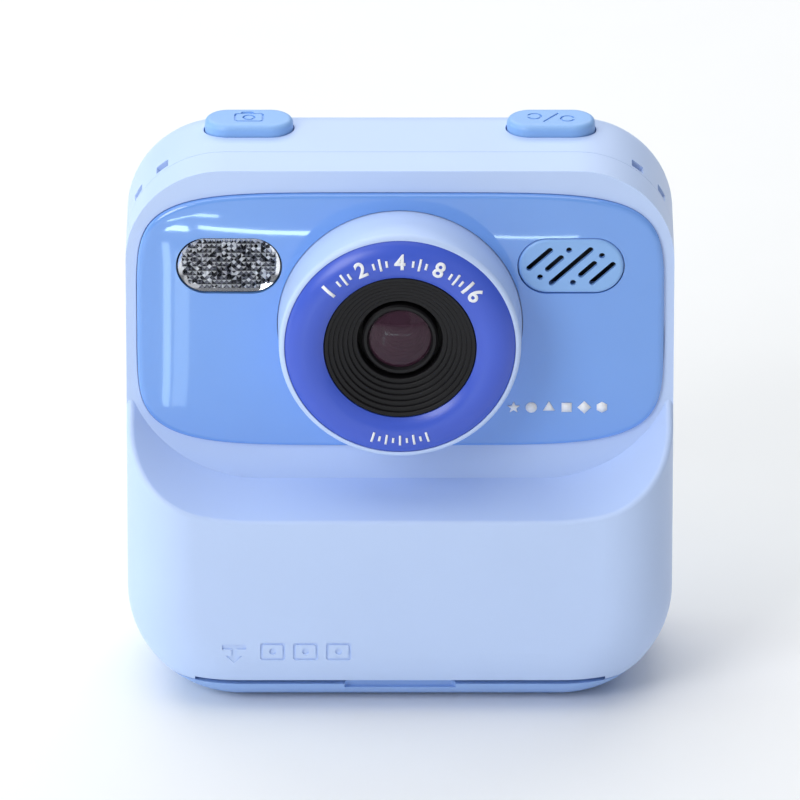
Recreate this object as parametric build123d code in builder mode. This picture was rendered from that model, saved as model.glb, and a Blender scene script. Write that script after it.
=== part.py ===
from build123d import *
import math
import os

# A kids' instant-print camera: a tall upper block with the lens, a deeper lower bulge that holds a
# thermal paper roll, and a paper door that is the camera's whole underside. Millimetres, +Z up. The
# lens looks along -Y. The origin is under the middle of the camera, on the surface that it stands on.

# ---- case -------------------------------------------------------------------------------------
CASE_W = 96.0
CASE_H = 98.5
FRONT_Y = -22.5
BACK_Y = 21.5
SEAT_Y = -8.5  # front of the upper block, where the panel sits
WALL = 2.0
TOP_CORNER_R = 17.0
BOTTOM_CORNER_R = 20.0
BACK_FILLET = 8.0
BULGE_FILLET = 12.0
SEAT_FILLET = 3.6
SHELF_EDGE_FILLET = 0.8
PARTING_GAP = 0.12
GAP = 0.25  # around buttons, keys and covers
HALF_W = CASE_W / 2
TOP_CENTRE_Z = CASE_H - TOP_CORNER_R
TOP_CENTRE_X = HALF_W - TOP_CORNER_R

# Scooped shelf: the cut's outline at the seat and at the front, each (y, half width, low z, corner r)
SHELF_TALL = 75.0
SHELF_AT_SEAT = (SEAT_Y, 48.5, 39.6, 24.0)
SHELF_AT_FRONT = (FRONT_Y - 1.0, 63.0, 37.35, 36.0)
SHELF_EDGE_Z = (36.0, 62.0)  # the shelf's front edge lies between these

# ---- front panel and lens ---------------------------------------------------------------------
PANEL_Z = 70.25
PANEL_HALF_W = 46.05
PANEL_HALF_H = 24.1
PANEL_POWER = 5.2  # exponent of the panel's superellipse outline
PANEL_FRONT_Y = -9.5
PANEL_BACK_Y = -7.9
PANEL_EDGE_FILLET = 0.6
PANEL_GAP = 0.14
FIT = 0.1  # around pieces that drop into the panel
PROUD = 0.5  # how far the grille stands out of the panel
LENS_Z = 70.0
BARREL_BASE_R = 21.4
BARREL_FRONT_R = 21.15
BARREL_FRONT_Y = -19.8
BARREL_BORE_R = 19.2
BARREL_NECK_R = 19.8
BARREL_NECK_BACK_Y = -5.2
BEZEL_R = 20.17
BEZEL_INNER_R = 13.4
BEZEL_BACK_Y = -18.4
BEZEL_CREST_Y = -21.3
BAFFLE_R = 13.3
BAFFLE_STEPS = 6
BAFFLE_STEP_R = 0.98
BAFFLE_STEP_Y = 0.62
BAFFLE_FRONT_Y = -20.2
RETAINER_R = 6.6
GLASS_R = 5.45
GLASS_FRONT_Y = -17.3
GLASS_BACK_Y = -14.6
GLASS_DOME_R = 14.0

# ---- flash window and speaker grille ----------------------------------------------------------
WINDOW_X = 29.9
WINDOW_Z = 81.0
FLASH_W = 18.3
FLASH_H = 10.3
GRILLE_W = 18.5
GRILLE_H = 10.3
GRILLE_SKIN = 0.9  # its thickness where the slots are
LEDGE = 0.8  # the shell behind the panel that the flash window and the grille rest on
GRILLE_SLOT_ANGLE = 43.0
GRILLE_SLOT_W = 1.05
GRILLE_SLOTS = [(0.0, 0.0, 10.3), (2.9, -0.55, 4.2), (5.5, -1.35, 6.0)]  # x, z, length; and opposite
GRILLE_HOLES = [(5.4, 2.05), (0.35, -3.1)]  # x, z; and opposite

# ---- top buttons, rear keys and the display ---------------------------------------------------
BUTTON_X = 26.5
BUTTON_Y = 10.6
BUTTON_W = 15.5
BUTTON_D = 8.3
BUTTON_TOP_Z = 100.5
BUTTON_FLANGE_Z = 95.2
FLANGE = 0.6  # how far the lip that holds a top button in stands out
KEY_FLANGE = 0.8
KEY_FACE_Y = 22.5
KEY_FLANGE_Y = 18.8
KEY_FLANGE_T = 0.5
PAD_Z = 24.0
PAD_R = 12.0
PAD_INNER_R = 5.4
PAD_CUT = 0.35  # half of the gap between two arrow keys
OK_R = 4.8
SIDE_KEY_X = 27.0
SIDE_KEY_W = 10.0
SIDE_KEY_H = 6.4
DISPLAY_Z = 66.0
DISPLAY_W = 62.0
DISPLAY_H = 45.0
DISPLAY_CORNER_R = 3.0
SCREEN_W = 55.0
SCREEN_H = 40.5
WINDOW_T = 1.0

# ---- paper door and its hinge -----------------------------------------------------------------
DOOR_TOP_Z = 5.0
DOOR_GAP = 0.2
SLOT_TOP_Z = 6.1
SLOT_HALF_W = 36.15
PIN_Y = 15.0
PIN_Z = 3.0
PIN_R = 1.0
RUNNING = 0.05  # radial clearance of turning fits
NOSE_R = 2.95
NOSE_HALF_W = 36.0
NOSE_FOOT_H = 3.6
LUG_X = 31.0
LUG_T = 3.0
LUG_R = 2.4
LUG_FOOT_Y = 4.3
LUG_FOOT_Z = 3.0
HINGE_EDGE_Y = 18.3
NOTCH_HALF_W = 9.8
NOTCH_REACH = 5.9

# ---- printer ----------------------------------------------------------------------------------
MODULE = 0.5
PLATEN_TEETH = 12
IDLER_TEETH = 24
PINION_TEETH = 10
PLATEN_Y = -13.0
PLATEN_Z = 7.5
PLATEN_R = 4.0
PLATEN_SHAFT_R = 1.5
PAPER_HALF_W = 28.5
BRACKET_X = 29.2
BRACKET_T = 1.4
FRAME_X = 29.6
FRAME_T = 1.2
GEAR_X = 31.2
GEAR_T = 2.0
GEAR_PLATE_X = 33.9
GEAR_PLATE_T = 0.8
ROLL_Y = 4.0
ROLL_Z = 20.5
ROLL_R = 11.5
CORE_R = 8.0
CORE_BORE_R = 6.0
HEAD_TILT = 120.0  # direction from the platen's centre to the head, in the YZ plane
HEAD_GAP = 0.12  # room for the paper between platen and head
IDLER_DIRECTION = 80.0
PINION_DIRECTION = 40.0
MOTOR_R = 6.0
MOTOR_LENGTH = 10.6
MOTOR_SHAFT_REACH = 6.0

os.makedirs("parts", exist_ok=True)


def at_x(x):
    """Plane across the camera at x, drawn in (Y, Z), extruding towards +X."""
    return Plane.YZ.offset(x)


def at_y(y):
    """Plane facing the front at y, drawn in (X, Z), extruding towards -Y."""
    return Plane.XZ.offset(-y)


def at_z(z):
    """Level plane at z, drawn in (X, Y), extruding towards +Z."""
    return Plane.XY.offset(z)


def write(piece, label):
    piece.part.label = label
    export_step(piece.part, f"parts/{label}.step")


def polar(radius, degrees):
    angle = math.radians(degrees)
    return radius * math.cos(angle), radius * math.sin(angle)


# ---- forms shared by several pieces -----------------------------------------------------------
def rounded_block(inset, front_y, front_fillet):
    """The case's outline from the back to front_y, every face moved in by inset."""
    with BuildPart() as block:
        with BuildSketch(at_y(BACK_Y - inset)) as outline:
            with Locations((0, CASE_H / 2)):
                Rectangle(CASE_W - 2 * inset, CASE_H - 2 * inset)
            fillet(outline.vertices().group_by(Axis.Y)[-1], TOP_CORNER_R - inset)
            fillet(outline.vertices().group_by(Axis.Y)[0], BOTTOM_CORNER_R - inset)
        extrude(amount=BACK_Y - front_y - 2 * inset)
        fillet(block.faces().sort_by(Axis.Y)[-1].edges(), BACK_FILLET - inset)
        fillet(block.faces().sort_by(Axis.Y)[0].edges(), front_fillet - inset)
    return block.part


def shelf_cut(inset):
    """What is scooped off the bulge above the shelf, from the seat out past the front."""
    with BuildPart() as cut:
        for y, half_w, low, corner in (SHELF_AT_SEAT, SHELF_AT_FRONT):
            plane_y = y + inset if y == SEAT_Y else y
            with BuildSketch(at_y(plane_y)):
                with Locations((0, low - inset + SHELF_TALL)):
                    RectangleRounded(2 * (half_w + inset), 2 * SHELF_TALL, corner + inset)
        loft(ruled=True)
    return cut.part


def case_form(inset):
    """The whole camera's outer form, or the hollow inside it when inset is the wall."""
    with BuildPart() as form:
        add(rounded_block(inset, FRONT_Y, BULGE_FILLET))
        add(shelf_cut(inset), mode=Mode.SUBTRACT)
        if inset == 0:
            rim = form.edges().filter_by(
                lambda e: SHELF_EDGE_Z[0] < e.center().Z < SHELF_EDGE_Z[1] and e.center().Y < SEAT_Y - 0.3
            )
            fillet(rim, SHELF_EDGE_FILLET)
        add(rounded_block(inset, SEAT_Y, SEAT_FILLET))
    return form.part


def superellipse(half_w, half_h, power, count=56):
    """Face bounded by |x/half_w|^power + |y/half_h|^power = 1."""
    points = []
    for i in range(count):
        c = math.cos(2 * math.pi * i / count)
        s = math.sin(2 * math.pi * i / count)
        x = math.copysign(abs(c) ** (2 / power) * half_w, c)
        y = math.copysign(abs(s) ** (2 / power) * half_h, s)
        points.append((x, y))
    with BuildSketch() as face:
        with BuildLine():
            Spline(*points, periodic=True)
        make_face()
    return face.sketch


def gear_outline(teeth, phase):
    """Spur gear face. One tooth points at phase degrees."""
    pitch_r = MODULE * teeth / 2
    # each (radius, half of the tooth's thickness there as a share of the pitch)
    root = (pitch_r - 1.2 * MODULE, 0.32)
    flank = (pitch_r, 0.22)
    tip = (pitch_r + 0.9 * MODULE, 0.12)
    points = []
    for i in range(teeth):
        for (radius, half), side in ((root, -1), (flank, -1), (tip, -1), (tip, 1), (flank, 1), (root, 1)):
            points.append(polar(radius, phase + (i + side * half) * 360 / teeth))
    with BuildSketch() as face:
        with BuildLine():
            Polyline(*points, close=True)
        make_face()
    return face.sketch


def box_between(x0, x1, y0, y1, z0, z1):
    """A plain block between two opposite corners."""
    with BuildPart() as block:
        with BuildSketch(at_z(z0)):
            with Locations(((x0 + x1) / 2, (y0 + y1) / 2)):
                Rectangle(x1 - x0, y1 - y0)
        extrude(amount=z1 - z0)
    return block.part


outer = case_form(0.0)
inner = case_form(WALL)

SCREW_POSTS = [(x, z) for x in (-42.2, 42.2) for z in (34.0, 80.0)]
SCREW_POST_R = 2.6
SCREW_JOINT_Y = 8.0
BOARD_POSTS = [(-26.0, 50.0), (26.0, 50.0), (-22.0, 90.5), (22.0, 90.5)]
BOARD_POST_R = 2.2
BOARD_Y = 4.0
BOARD_T = 1.2
PILOT_R = 0.85  # of the holes that the screws bite into
PILOT_DEPTH = 10.0
BOARD_PILOT_DEPTH = 7.0
SCREW_HEAD_R = 2.0
SCREW_HEAD_T = 1.6
SCREW_SEAT_Y = 12.0
SCREW_CLEAR_R = 1.2
STRAP_ANGLES = (51.2, 29.0)  # of the two holes, up from horizontal, about the top corner's centre
STRAP_Y = (0.8, 3.6)
STRAP_HOLE_W = 2.6
STRAP_TUNNEL_R = 13.4
STRAP_WALL = 1.4  # behind and inside the tunnels
PORT_Z = (49.0, 73.0)
PORT_Y = (2.9, 11.1)
PORT_FLOOR_X = 46.4
PORT_WALL = 1.8
USB_PORT = (7.2, 67.2, 3.9, 9.8)  # y, z, thickness, width
CARD_PORT = (6.4, 55.6, 2.0, 11.6)
LENS_AXIS = Axis((0, 0, LENS_Z), (0, 1, 0))

# ---- front shell ------------------------------------------------------------------------------
with BuildPart() as front_hollow:
    add(inner)
    with BuildSketch(at_y(SCREW_JOINT_Y)):
        with Locations(*SCREW_POSTS):
            Circle(SCREW_POST_R)
    extrude(amount=SCREW_JOINT_Y - FRONT_Y, mode=Mode.SUBTRACT)
    with BuildSketch(at_y(BOARD_Y)):
        with Locations(*BOARD_POSTS):
            Circle(BOARD_POST_R)
    extrude(amount=BOARD_Y - SEAT_Y, mode=Mode.SUBTRACT)

ARROW_Z = 12.4
ARROW_X = -29.2
ARROW_HALF_W = 2.1
ARROW_BAR = (0.4, 1.3)  # z of the top bar's two edges above ARROW_Z
ARROW_STEM = 0.45
ARROW_HEAD = 1.4
ARROW_HEAD_Z = -0.9
ARROW_TIP_Z = -2.3
FRAME_ICONS_X = [-22.4, -16.6, -10.8]
FRAME_ICON = (4.4, 3.4)
FRAME_ICON_LINE = 0.45
ENGRAVING = 0.3

with BuildPart() as front_posts:
    with BuildSketch(at_y(SCREW_JOINT_Y)):
        with Locations(*SCREW_POSTS):
            Circle(SCREW_POST_R)
    extrude(amount=SCREW_JOINT_Y + 1.0)
    with BuildSketch(at_y(BOARD_Y)):
        with Locations(*BOARD_POSTS):
            Circle(BOARD_POST_R)
    extrude(amount=BOARD_Y + 1.0)

with BuildPart() as front_shell:
    add(outer)
    add(front_hollow.part, mode=Mode.SUBTRACT)
    split(bisect_by=at_y(-PARTING_GAP / 2), keep=Keep.TOP)
    add(front_posts.part)
    # The underside is left open for the paper door, with the paper slot above the door's lip.
    with BuildSketch(at_z(DOOR_TOP_Z + DOOR_GAP)):
        Rectangle(2 * CASE_W, 2 * CASE_W)
    extrude(amount=-2 * DOOR_TOP_Z, mode=Mode.SUBTRACT)
    with BuildSketch(at_z(SLOT_TOP_Z)):
        with Locations((0, FRONT_Y)):
            Rectangle(2 * SLOT_HALF_W, 2 * BULGE_FILLET)
    extrude(amount=-2.0, mode=Mode.SUBTRACT)
    # Pocket for the panel, and the openings behind it.
    with BuildSketch(at_y(PANEL_BACK_Y)):
        with Locations((0, PANEL_Z)):
            add(superellipse(PANEL_HALF_W + PANEL_GAP, PANEL_HALF_H + PANEL_GAP, PANEL_POWER))
    extrude(amount=3.0, mode=Mode.SUBTRACT)
    with BuildSketch(at_y(SEAT_Y + 2 * WALL)):
        with Locations((0, LENS_Z)):
            Circle(BARREL_NECK_R + FIT)
        with Locations((-WINDOW_X, WINDOW_Z)):
            SlotOverall(FLASH_W - 2 * LEDGE, FLASH_H - 2 * LEDGE)
        with Locations((WINDOW_X, WINDOW_Z)):
            SlotOverall(GRILLE_W - 2 * LEDGE, GRILLE_H - 2 * LEDGE)
    extrude(amount=3 * WALL, mode=Mode.SUBTRACT)
    # Pilot holes in the screw posts and in the board posts.
    with BuildSketch(at_y(SCREW_JOINT_Y)):
        with Locations(*SCREW_POSTS):
            Circle(PILOT_R)
    extrude(amount=PILOT_DEPTH, mode=Mode.SUBTRACT)
    with BuildSketch(at_y(BOARD_Y)):
        with Locations(*BOARD_POSTS):
            Circle(PILOT_R)
    extrude(amount=BOARD_PILOT_DEPTH, mode=Mode.SUBTRACT)
    # Engraved bent arrow towards the slot, and three small picture frames beside it.
    with BuildSketch(at_y(FRONT_Y + ENGRAVING)):
        with BuildLine():
            Polyline(
                (ARROW_X + ARROW_HALF_W, ARROW_Z + ARROW_BAR[1]),
                (ARROW_X - ARROW_HALF_W, ARROW_Z + ARROW_BAR[1]),
                (ARROW_X - ARROW_HALF_W, ARROW_Z + ARROW_BAR[0]),
                (ARROW_X - ARROW_STEM, ARROW_Z + ARROW_BAR[0]),
                (ARROW_X - ARROW_STEM, ARROW_Z + ARROW_HEAD_Z),
                (ARROW_X - ARROW_HEAD, ARROW_Z + ARROW_HEAD_Z),
                (ARROW_X, ARROW_Z + ARROW_TIP_Z),
                (ARROW_X + ARROW_HEAD, ARROW_Z + ARROW_HEAD_Z),
                (ARROW_X + ARROW_STEM, ARROW_Z + ARROW_HEAD_Z),
                (ARROW_X + ARROW_STEM, ARROW_Z + ARROW_BAR[0]),
                (ARROW_X + ARROW_HALF_W, ARROW_Z + ARROW_BAR[0]),
                close=True,
            )
        make_face()
        with Locations(*[(x, ARROW_Z) for x in FRAME_ICONS_X]):
            width, height = FRAME_ICON
            RectangleRounded(width, height, 0.5)
            RectangleRounded(width - 2 * FRAME_ICON_LINE, height - 2 * FRAME_ICON_LINE, 0.3, mode=Mode.SUBTRACT)
            Circle(0.6)
    extrude(amount=3.0, mode=Mode.SUBTRACT)
write(front_shell, "front_shell")

# ---- rear shell -------------------------------------------------------------------------------
with BuildPart() as strap_corners:
    with BuildSketch(at_y(STRAP_Y[1] + STRAP_WALL)):
        for side in (-1, 1):
            with Locations((side * TOP_CENTRE_X, TOP_CENTRE_Z)):
                Circle(TOP_CORNER_R)
                Circle(STRAP_TUNNEL_R - STRAP_WALL - 1.2, mode=Mode.SUBTRACT)
            with Locations((side * (TOP_CENTRE_X - TOP_CORNER_R), TOP_CENTRE_Z)):
                Rectangle(2 * TOP_CORNER_R + 10.0, 3 * TOP_CORNER_R, mode=Mode.SUBTRACT)
        with Locations((0, TOP_CENTRE_Z - TOP_CORNER_R)):
            Rectangle(2 * CASE_W, 2 * TOP_CORNER_R + 6.0, mode=Mode.SUBTRACT)
    extrude(amount=STRAP_Y[1] + STRAP_WALL)

with BuildPart() as rear_hollow:
    add(inner)
    with BuildSketch(at_y(BACK_Y)):
        with Locations(*SCREW_POSTS):
            Circle(SCREW_POST_R + 0.7)
    extrude(amount=BACK_Y - SCREW_JOINT_Y - GAP, mode=Mode.SUBTRACT)
    # Thick corners for the strap posts, and a thick wall behind the port cover.
    add(strap_corners.part, mode=Mode.SUBTRACT)
    port_wall_y = (PORT_Y[0] - PORT_WALL, PORT_Y[1] + PORT_WALL)
    port_wall_z = (PORT_Z[0] - PORT_WALL, PORT_Z[1] + PORT_WALL)
    add(box_between(PORT_FLOOR_X - PORT_WALL, HALF_W, *port_wall_y, *port_wall_z), mode=Mode.SUBTRACT)

with BuildPart() as rear_lugs:
    for side in (-1, 1):
        x0 = side * LUG_X - LUG_T / 2
        with BuildSketch(at_x(x0)):
            with Locations((PIN_Y, PIN_Z)):
                Circle(LUG_R)
            with Locations((PIN_Y + LUG_FOOT_Y / 2, PIN_Z + LUG_FOOT_Z / 2)):
                Rectangle(LUG_FOOT_Y, LUG_FOOT_Z)
        extrude(amount=LUG_T)

with BuildPart() as rear_shell:
    add(outer)
    add(rear_hollow.part, mode=Mode.SUBTRACT)
    split(bisect_by=at_y(PARTING_GAP / 2), keep=Keep.BOTTOM)
    # Room for the paper door and for its bottom edge, which swings up behind the hinge pin.
    add(box_between(-CASE_W, CASE_W, -1.0, HINGE_EDGE_Y, -1.0, DOOR_TOP_Z + DOOR_GAP), mode=Mode.SUBTRACT)
    add(rear_lugs.part)
    with BuildSketch(at_x(-LUG_X - LUG_T)):
        with Locations((PIN_Y, PIN_Z)):
            Circle(PIN_R)
    extrude(amount=2 * (LUG_X + LUG_T), mode=Mode.SUBTRACT)
    # Screw holes: counterbored from the back, then clear for the thread.
    with BuildSketch(at_y(BACK_Y + 1.0)):
        with Locations(*SCREW_POSTS):
            Circle(SCREW_HEAD_R + 0.3)
    extrude(amount=BACK_Y + 1.0 - SCREW_SEAT_Y, mode=Mode.SUBTRACT)
    with BuildSketch(at_y(SCREW_SEAT_Y + 0.5)):
        with Locations(*SCREW_POSTS):
            Circle(SCREW_CLEAR_R)
    extrude(amount=SCREW_SEAT_Y - SCREW_JOINT_Y + 1.0, mode=Mode.SUBTRACT)
    # Top button holes.
    with BuildSketch(at_z(CASE_H - 2 * WALL)):
        with Locations((-BUTTON_X, BUTTON_Y), (BUTTON_X, BUTTON_Y)):
            SlotOverall(BUTTON_W + 2 * GAP, BUTTON_D + 2 * GAP)
    extrude(amount=3 * WALL, mode=Mode.SUBTRACT)
    # Display window's recess and the screen opening.
    with BuildSketch(at_y(BACK_Y + 1.0)):
        with Locations((0, DISPLAY_Z)):
            RectangleRounded(DISPLAY_W + 2 * PANEL_GAP, DISPLAY_H + 2 * PANEL_GAP, DISPLAY_CORNER_R + PANEL_GAP)
    extrude(amount=1.0 + WINDOW_T, mode=Mode.SUBTRACT)
    with BuildSketch(at_y(BACK_Y)):
        with Locations((0, DISPLAY_Z)):
            Rectangle(SCREEN_W, SCREEN_H)
    extrude(amount=2 * WALL, mode=Mode.SUBTRACT)
    # Key holes.
    with BuildSketch(at_y(BACK_Y + 1.0)):
        with Locations((0, PAD_Z)):
            Circle(PAD_R + GAP)
        with Locations((-SIDE_KEY_X, PAD_Z), (SIDE_KEY_X, PAD_Z)):
            SlotOverall(SIDE_KEY_W + 2 * GAP, SIDE_KEY_H + 2 * GAP)
    extrude(amount=1.0 + 2 * WALL, mode=Mode.SUBTRACT)
    # Strap tunnels: two radial holes in each top corner, joined behind the strap post.
    with BuildSketch(at_y(STRAP_Y[1])):
        for side in (-1, 1):
            with Locations((side * TOP_CENTRE_X, TOP_CENTRE_Z)):
                angles = [a if side > 0 else 180 - a for a in STRAP_ANGLES]
                for angle in angles:
                    with PolarLocations(STRAP_TUNNEL_R + 3.0, 1, angle):
                        Rectangle(8.4, STRAP_HOLE_W)
                with BuildLine():
                    CenterArc((0, 0), STRAP_TUNNEL_R, min(angles), max(angles) - min(angles))
                    offset(amount=1.2, side=Side.BOTH)
                make_face()
    extrude(amount=STRAP_Y[1] - STRAP_Y[0], mode=Mode.SUBTRACT)
    # Port cover's recess, the two ports in its floor, and the cover's hinge holes.
    with BuildSketch(at_x(PORT_FLOOR_X)):
        with Locations(((PORT_Y[0] + PORT_Y[1]) / 2, (PORT_Z[0] + PORT_Z[1]) / 2)):
            RectangleRounded(PORT_Y[1] - PORT_Y[0], PORT_Z[1] - PORT_Z[0], 0.8)
        with Locations(((PORT_Y[0] + PORT_Y[1]) / 2, PORT_Z[1])):
            SlotOverall(4.0, 2.4)
    extrude(amount=3.0, mode=Mode.SUBTRACT)
    with BuildSketch(at_x(PORT_FLOOR_X - 3.0)):
        for y, z, thick, width in (USB_PORT, CARD_PORT):
            with Locations((y, z)):
                SlotOverall(width, thick, rotation=90)
    extrude(amount=4.0, mode=Mode.SUBTRACT)
write(rear_shell, "rear_shell")

# ---- front panel, flash and grille --------------------------------------------------------------
with BuildPart() as front_panel:
    with BuildSketch(at_y(PANEL_BACK_Y)):
        with Locations((0, PANEL_Z)):
            add(superellipse(PANEL_HALF_W, PANEL_HALF_H, PANEL_POWER))
    extrude(amount=PANEL_BACK_Y - PANEL_FRONT_Y)
    fillet(front_panel.faces().sort_by(Axis.Y)[0].edges(), PANEL_EDGE_FILLET)
    with BuildSketch(at_y(PANEL_BACK_Y + 1.0)):
        with Locations((0, LENS_Z)):
            Circle(BARREL_NECK_R + FIT)
        with Locations((-WINDOW_X, WINDOW_Z)):
            SlotOverall(FLASH_W + 2 * FIT, FLASH_H + 2 * FIT)
        with Locations((WINDOW_X, WINDOW_Z)):
            SlotOverall(GRILLE_W + 2 * FIT, GRILLE_H + 2 * FIT)
    extrude(amount=4.0, mode=Mode.SUBTRACT)
write(front_panel, "front_panel")

with BuildPart() as flash_lens:
    with BuildSketch(at_y(PANEL_BACK_Y)):
        with Locations((-WINDOW_X, WINDOW_Z)):
            SlotOverall(FLASH_W, FLASH_H)
    extrude(amount=PANEL_BACK_Y - PANEL_FRONT_Y + PROUD - 0.05)
    fillet(flash_lens.faces().sort_by(Axis.Y)[0].edges(), 0.9)
write(flash_lens, "flash_lens")

with BuildPart() as speaker_grille:
    with BuildSketch(at_y(PANEL_BACK_Y)):
        with Locations((WINDOW_X, WINDOW_Z)):
            SlotOverall(GRILLE_W, GRILLE_H)
    extrude(amount=PANEL_BACK_Y - PANEL_FRONT_Y + PROUD)
    fillet(speaker_grille.faces().sort_by(Axis.Y)[0].edges(), 0.7)
    with BuildSketch(at_y(PANEL_BACK_Y)):
        with Locations((WINDOW_X, WINDOW_Z)):
            SlotOverall(GRILLE_W - 2 * LEDGE, GRILLE_H - 2 * LEDGE)
    extrude(amount=PANEL_BACK_Y - PANEL_FRONT_Y + PROUD - GRILLE_SKIN, mode=Mode.SUBTRACT)
    with BuildSketch(at_y(PANEL_BACK_Y + 1.0)):
        with Locations((WINDOW_X, WINDOW_Z)):
            for side in (1, -1):
                for x, z, length in GRILLE_SLOTS[(1 - side) // 2:]:
                    with Locations((side * x, side * z)):
                        SlotOverall(length, GRILLE_SLOT_W, rotation=GRILLE_SLOT_ANGLE)
                for x, z in GRILLE_HOLES:
                    with Locations((side * x, side * z)):
                        Circle(GRILLE_SLOT_W / 2)
    extrude(amount=4.0, mode=Mode.SUBTRACT)
write(speaker_grille, "speaker_grille")

# ---- lens stack: turned pieces about the lens axis ----------------------------------------------
LENS_PLANE = at_z(LENS_Z)

with BuildPart() as lens_barrel:
    with BuildSketch(LENS_PLANE):
        with BuildLine():
            Polyline(
                (BARREL_BORE_R, BARREL_NECK_BACK_Y),
                (BARREL_NECK_R, BARREL_NECK_BACK_Y),
                (BARREL_NECK_R, PANEL_FRONT_Y - 0.02),
                (BARREL_BASE_R, PANEL_FRONT_Y - 0.02),
                (BARREL_FRONT_R, BARREL_FRONT_Y),
                (BEZEL_R + 0.06, BARREL_FRONT_Y),
                (BEZEL_R + 0.06, BEZEL_BACK_Y),
                (BARREL_BORE_R, BEZEL_BACK_Y),
                close=True,
            )
        make_face()
    revolve(axis=LENS_AXIS)
    rims = lens_barrel.edges().filter_by(GeomType.CIRCLE).filter_by(
        lambda e: abs(e.radius - BARREL_FRONT_R) < 0.01
    )
    fillet(rims, 0.8)
write(lens_barrel, "lens_barrel")

with BuildPart() as lens_bezel:
    with BuildSketch(LENS_PLANE):
        with BuildLine():
            crown = ThreePointArc(
                (BEZEL_R, BARREL_FRONT_Y + 0.15),
                ((BEZEL_R + BEZEL_INNER_R) / 2 + 0.4, BEZEL_CREST_Y),
                (BEZEL_INNER_R, BARREL_FRONT_Y - 0.45),
            )
            Polyline(crown @ 1, (BEZEL_INNER_R, BEZEL_BACK_Y), (BEZEL_R, BEZEL_BACK_Y), crown @ 0)
        make_face()
    revolve(axis=LENS_AXIS)
write(lens_bezel, "lens_bezel")

BAFFLE_BACK_Y = -14.6
with BuildPart() as lens_baffle:
    steps = [(BAFFLE_R, BAFFLE_FRONT_Y)]
    for i in range(BAFFLE_STEPS):
        r = BAFFLE_R - (i + 1) * BAFFLE_STEP_R
        steps.append((r, BAFFLE_FRONT_Y + i * BAFFLE_STEP_Y + 0.15))
        steps.append((r, BAFFLE_FRONT_Y + (i + 1) * BAFFLE_STEP_Y))
    with BuildSketch(LENS_PLANE):
        with BuildLine():
            Polyline(*steps, (steps[-1][0], BAFFLE_BACK_Y), (BAFFLE_R, BAFFLE_BACK_Y), close=True)
        make_face()
    revolve(axis=LENS_AXIS)
write(lens_baffle, "lens_baffle")

RETAINER_FRONT_Y = -16.9
RETAINER_BACK_Y = -13.0
with BuildPart() as lens_retainer:
    with BuildSketch(LENS_PLANE):
        with BuildLine():
            Polyline(
                (GLASS_R + 0.03, RETAINER_FRONT_Y + 0.5),
                (GLASS_R + 0.35, RETAINER_FRONT_Y),
                (RETAINER_R - 0.3, RETAINER_FRONT_Y),
                (RETAINER_R, RETAINER_FRONT_Y + 0.3),
                (RETAINER_R, RETAINER_BACK_Y),
                (GLASS_R + 0.03, RETAINER_BACK_Y),
                close=True,
            )
        make_face()
    revolve(axis=LENS_AXIS)
write(lens_retainer, "lens_retainer")

with BuildPart() as lens_cover_glass:
    with BuildSketch(at_y(GLASS_BACK_Y)):
        with Locations((0, LENS_Z)):
            Circle(GLASS_R)
    extrude(amount=GLASS_BACK_Y - GLASS_FRONT_Y)
    with Locations((0, GLASS_FRONT_Y + GLASS_DOME_R, LENS_Z)):
        Sphere(GLASS_DOME_R, mode=Mode.INTERSECT)
write(lens_cover_glass, "lens_cover_glass")

MODULE_FRONT_Y = -14.5
MODULE_FLANGE_R = 12.6
MODULE_FLANGE_BACK_Y = -11.5
MODULE_BODY_R = 8.0
MODULE_BACK_Y = -3.0
SENSOR_BOARD = 20.0
with BuildPart() as camera_module:
    with BuildSketch(LENS_PLANE):
        with BuildLine():
            Polyline(
                (0, MODULE_FRONT_Y),
                (GLASS_R, MODULE_FRONT_Y),
                (GLASS_R, RETAINER_BACK_Y + 0.1),
                (MODULE_FLANGE_R, RETAINER_BACK_Y + 0.1),
                (MODULE_FLANGE_R, BAFFLE_BACK_Y + 0.05),
                (BARREL_BORE_R - 0.05, BAFFLE_BACK_Y + 0.05),
                (BARREL_BORE_R - 0.05, MODULE_FLANGE_BACK_Y),
                (MODULE_BODY_R, MODULE_FLANGE_BACK_Y),
                (MODULE_BODY_R, MODULE_BACK_Y),
                (0, MODULE_BACK_Y),
                close=True,
            )
        make_face()
    revolve(axis=LENS_AXIS)
write(camera_module, "camera_module")

with BuildPart() as sensor_board:
    with BuildSketch(at_y(MODULE_BACK_Y + 1.0)):
        with Locations((0, LENS_Z)):
            RectangleRounded(SENSOR_BOARD, SENSOR_BOARD, 1.0)
    extrude(amount=1.0)
write(sensor_board, "sensor_board")

# ---- flash and speaker behind the panel ---------------------------------------------------------
REFLECTOR_BACK = (12.0, 5.0)  # outer size of the dish at its back
REFLECTOR_Y = (-7.8, -3.5)
REFLECTOR_T = 0.7
with BuildPart() as flash_reflector:
    with BuildSketch(at_y(REFLECTOR_Y[1])):
        with Locations((-WINDOW_X, WINDOW_Z)):
            SlotOverall(*REFLECTOR_BACK)
    with BuildSketch(at_y(REFLECTOR_Y[0])):
        with Locations((-WINDOW_X, WINDOW_Z)):
            SlotOverall(FLASH_W - 2.0, FLASH_H - 2.0)
    loft()
    with BuildSketch(at_y(REFLECTOR_Y[1] - 1.0)):
        with Locations((-WINDOW_X, WINDOW_Z)):
            SlotOverall(REFLECTOR_BACK[0] - 2 * REFLECTOR_T, REFLECTOR_BACK[1] - 2 * REFLECTOR_T)
    with BuildSketch(at_y(REFLECTOR_Y[0] - 0.2)):
        with Locations((-WINDOW_X, WINDOW_Z)):
            SlotOverall(FLASH_W - 2.0 - 2 * REFLECTOR_T, FLASH_H - 2.0 - 2 * REFLECTOR_T)
    loft(mode=Mode.SUBTRACT)
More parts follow.
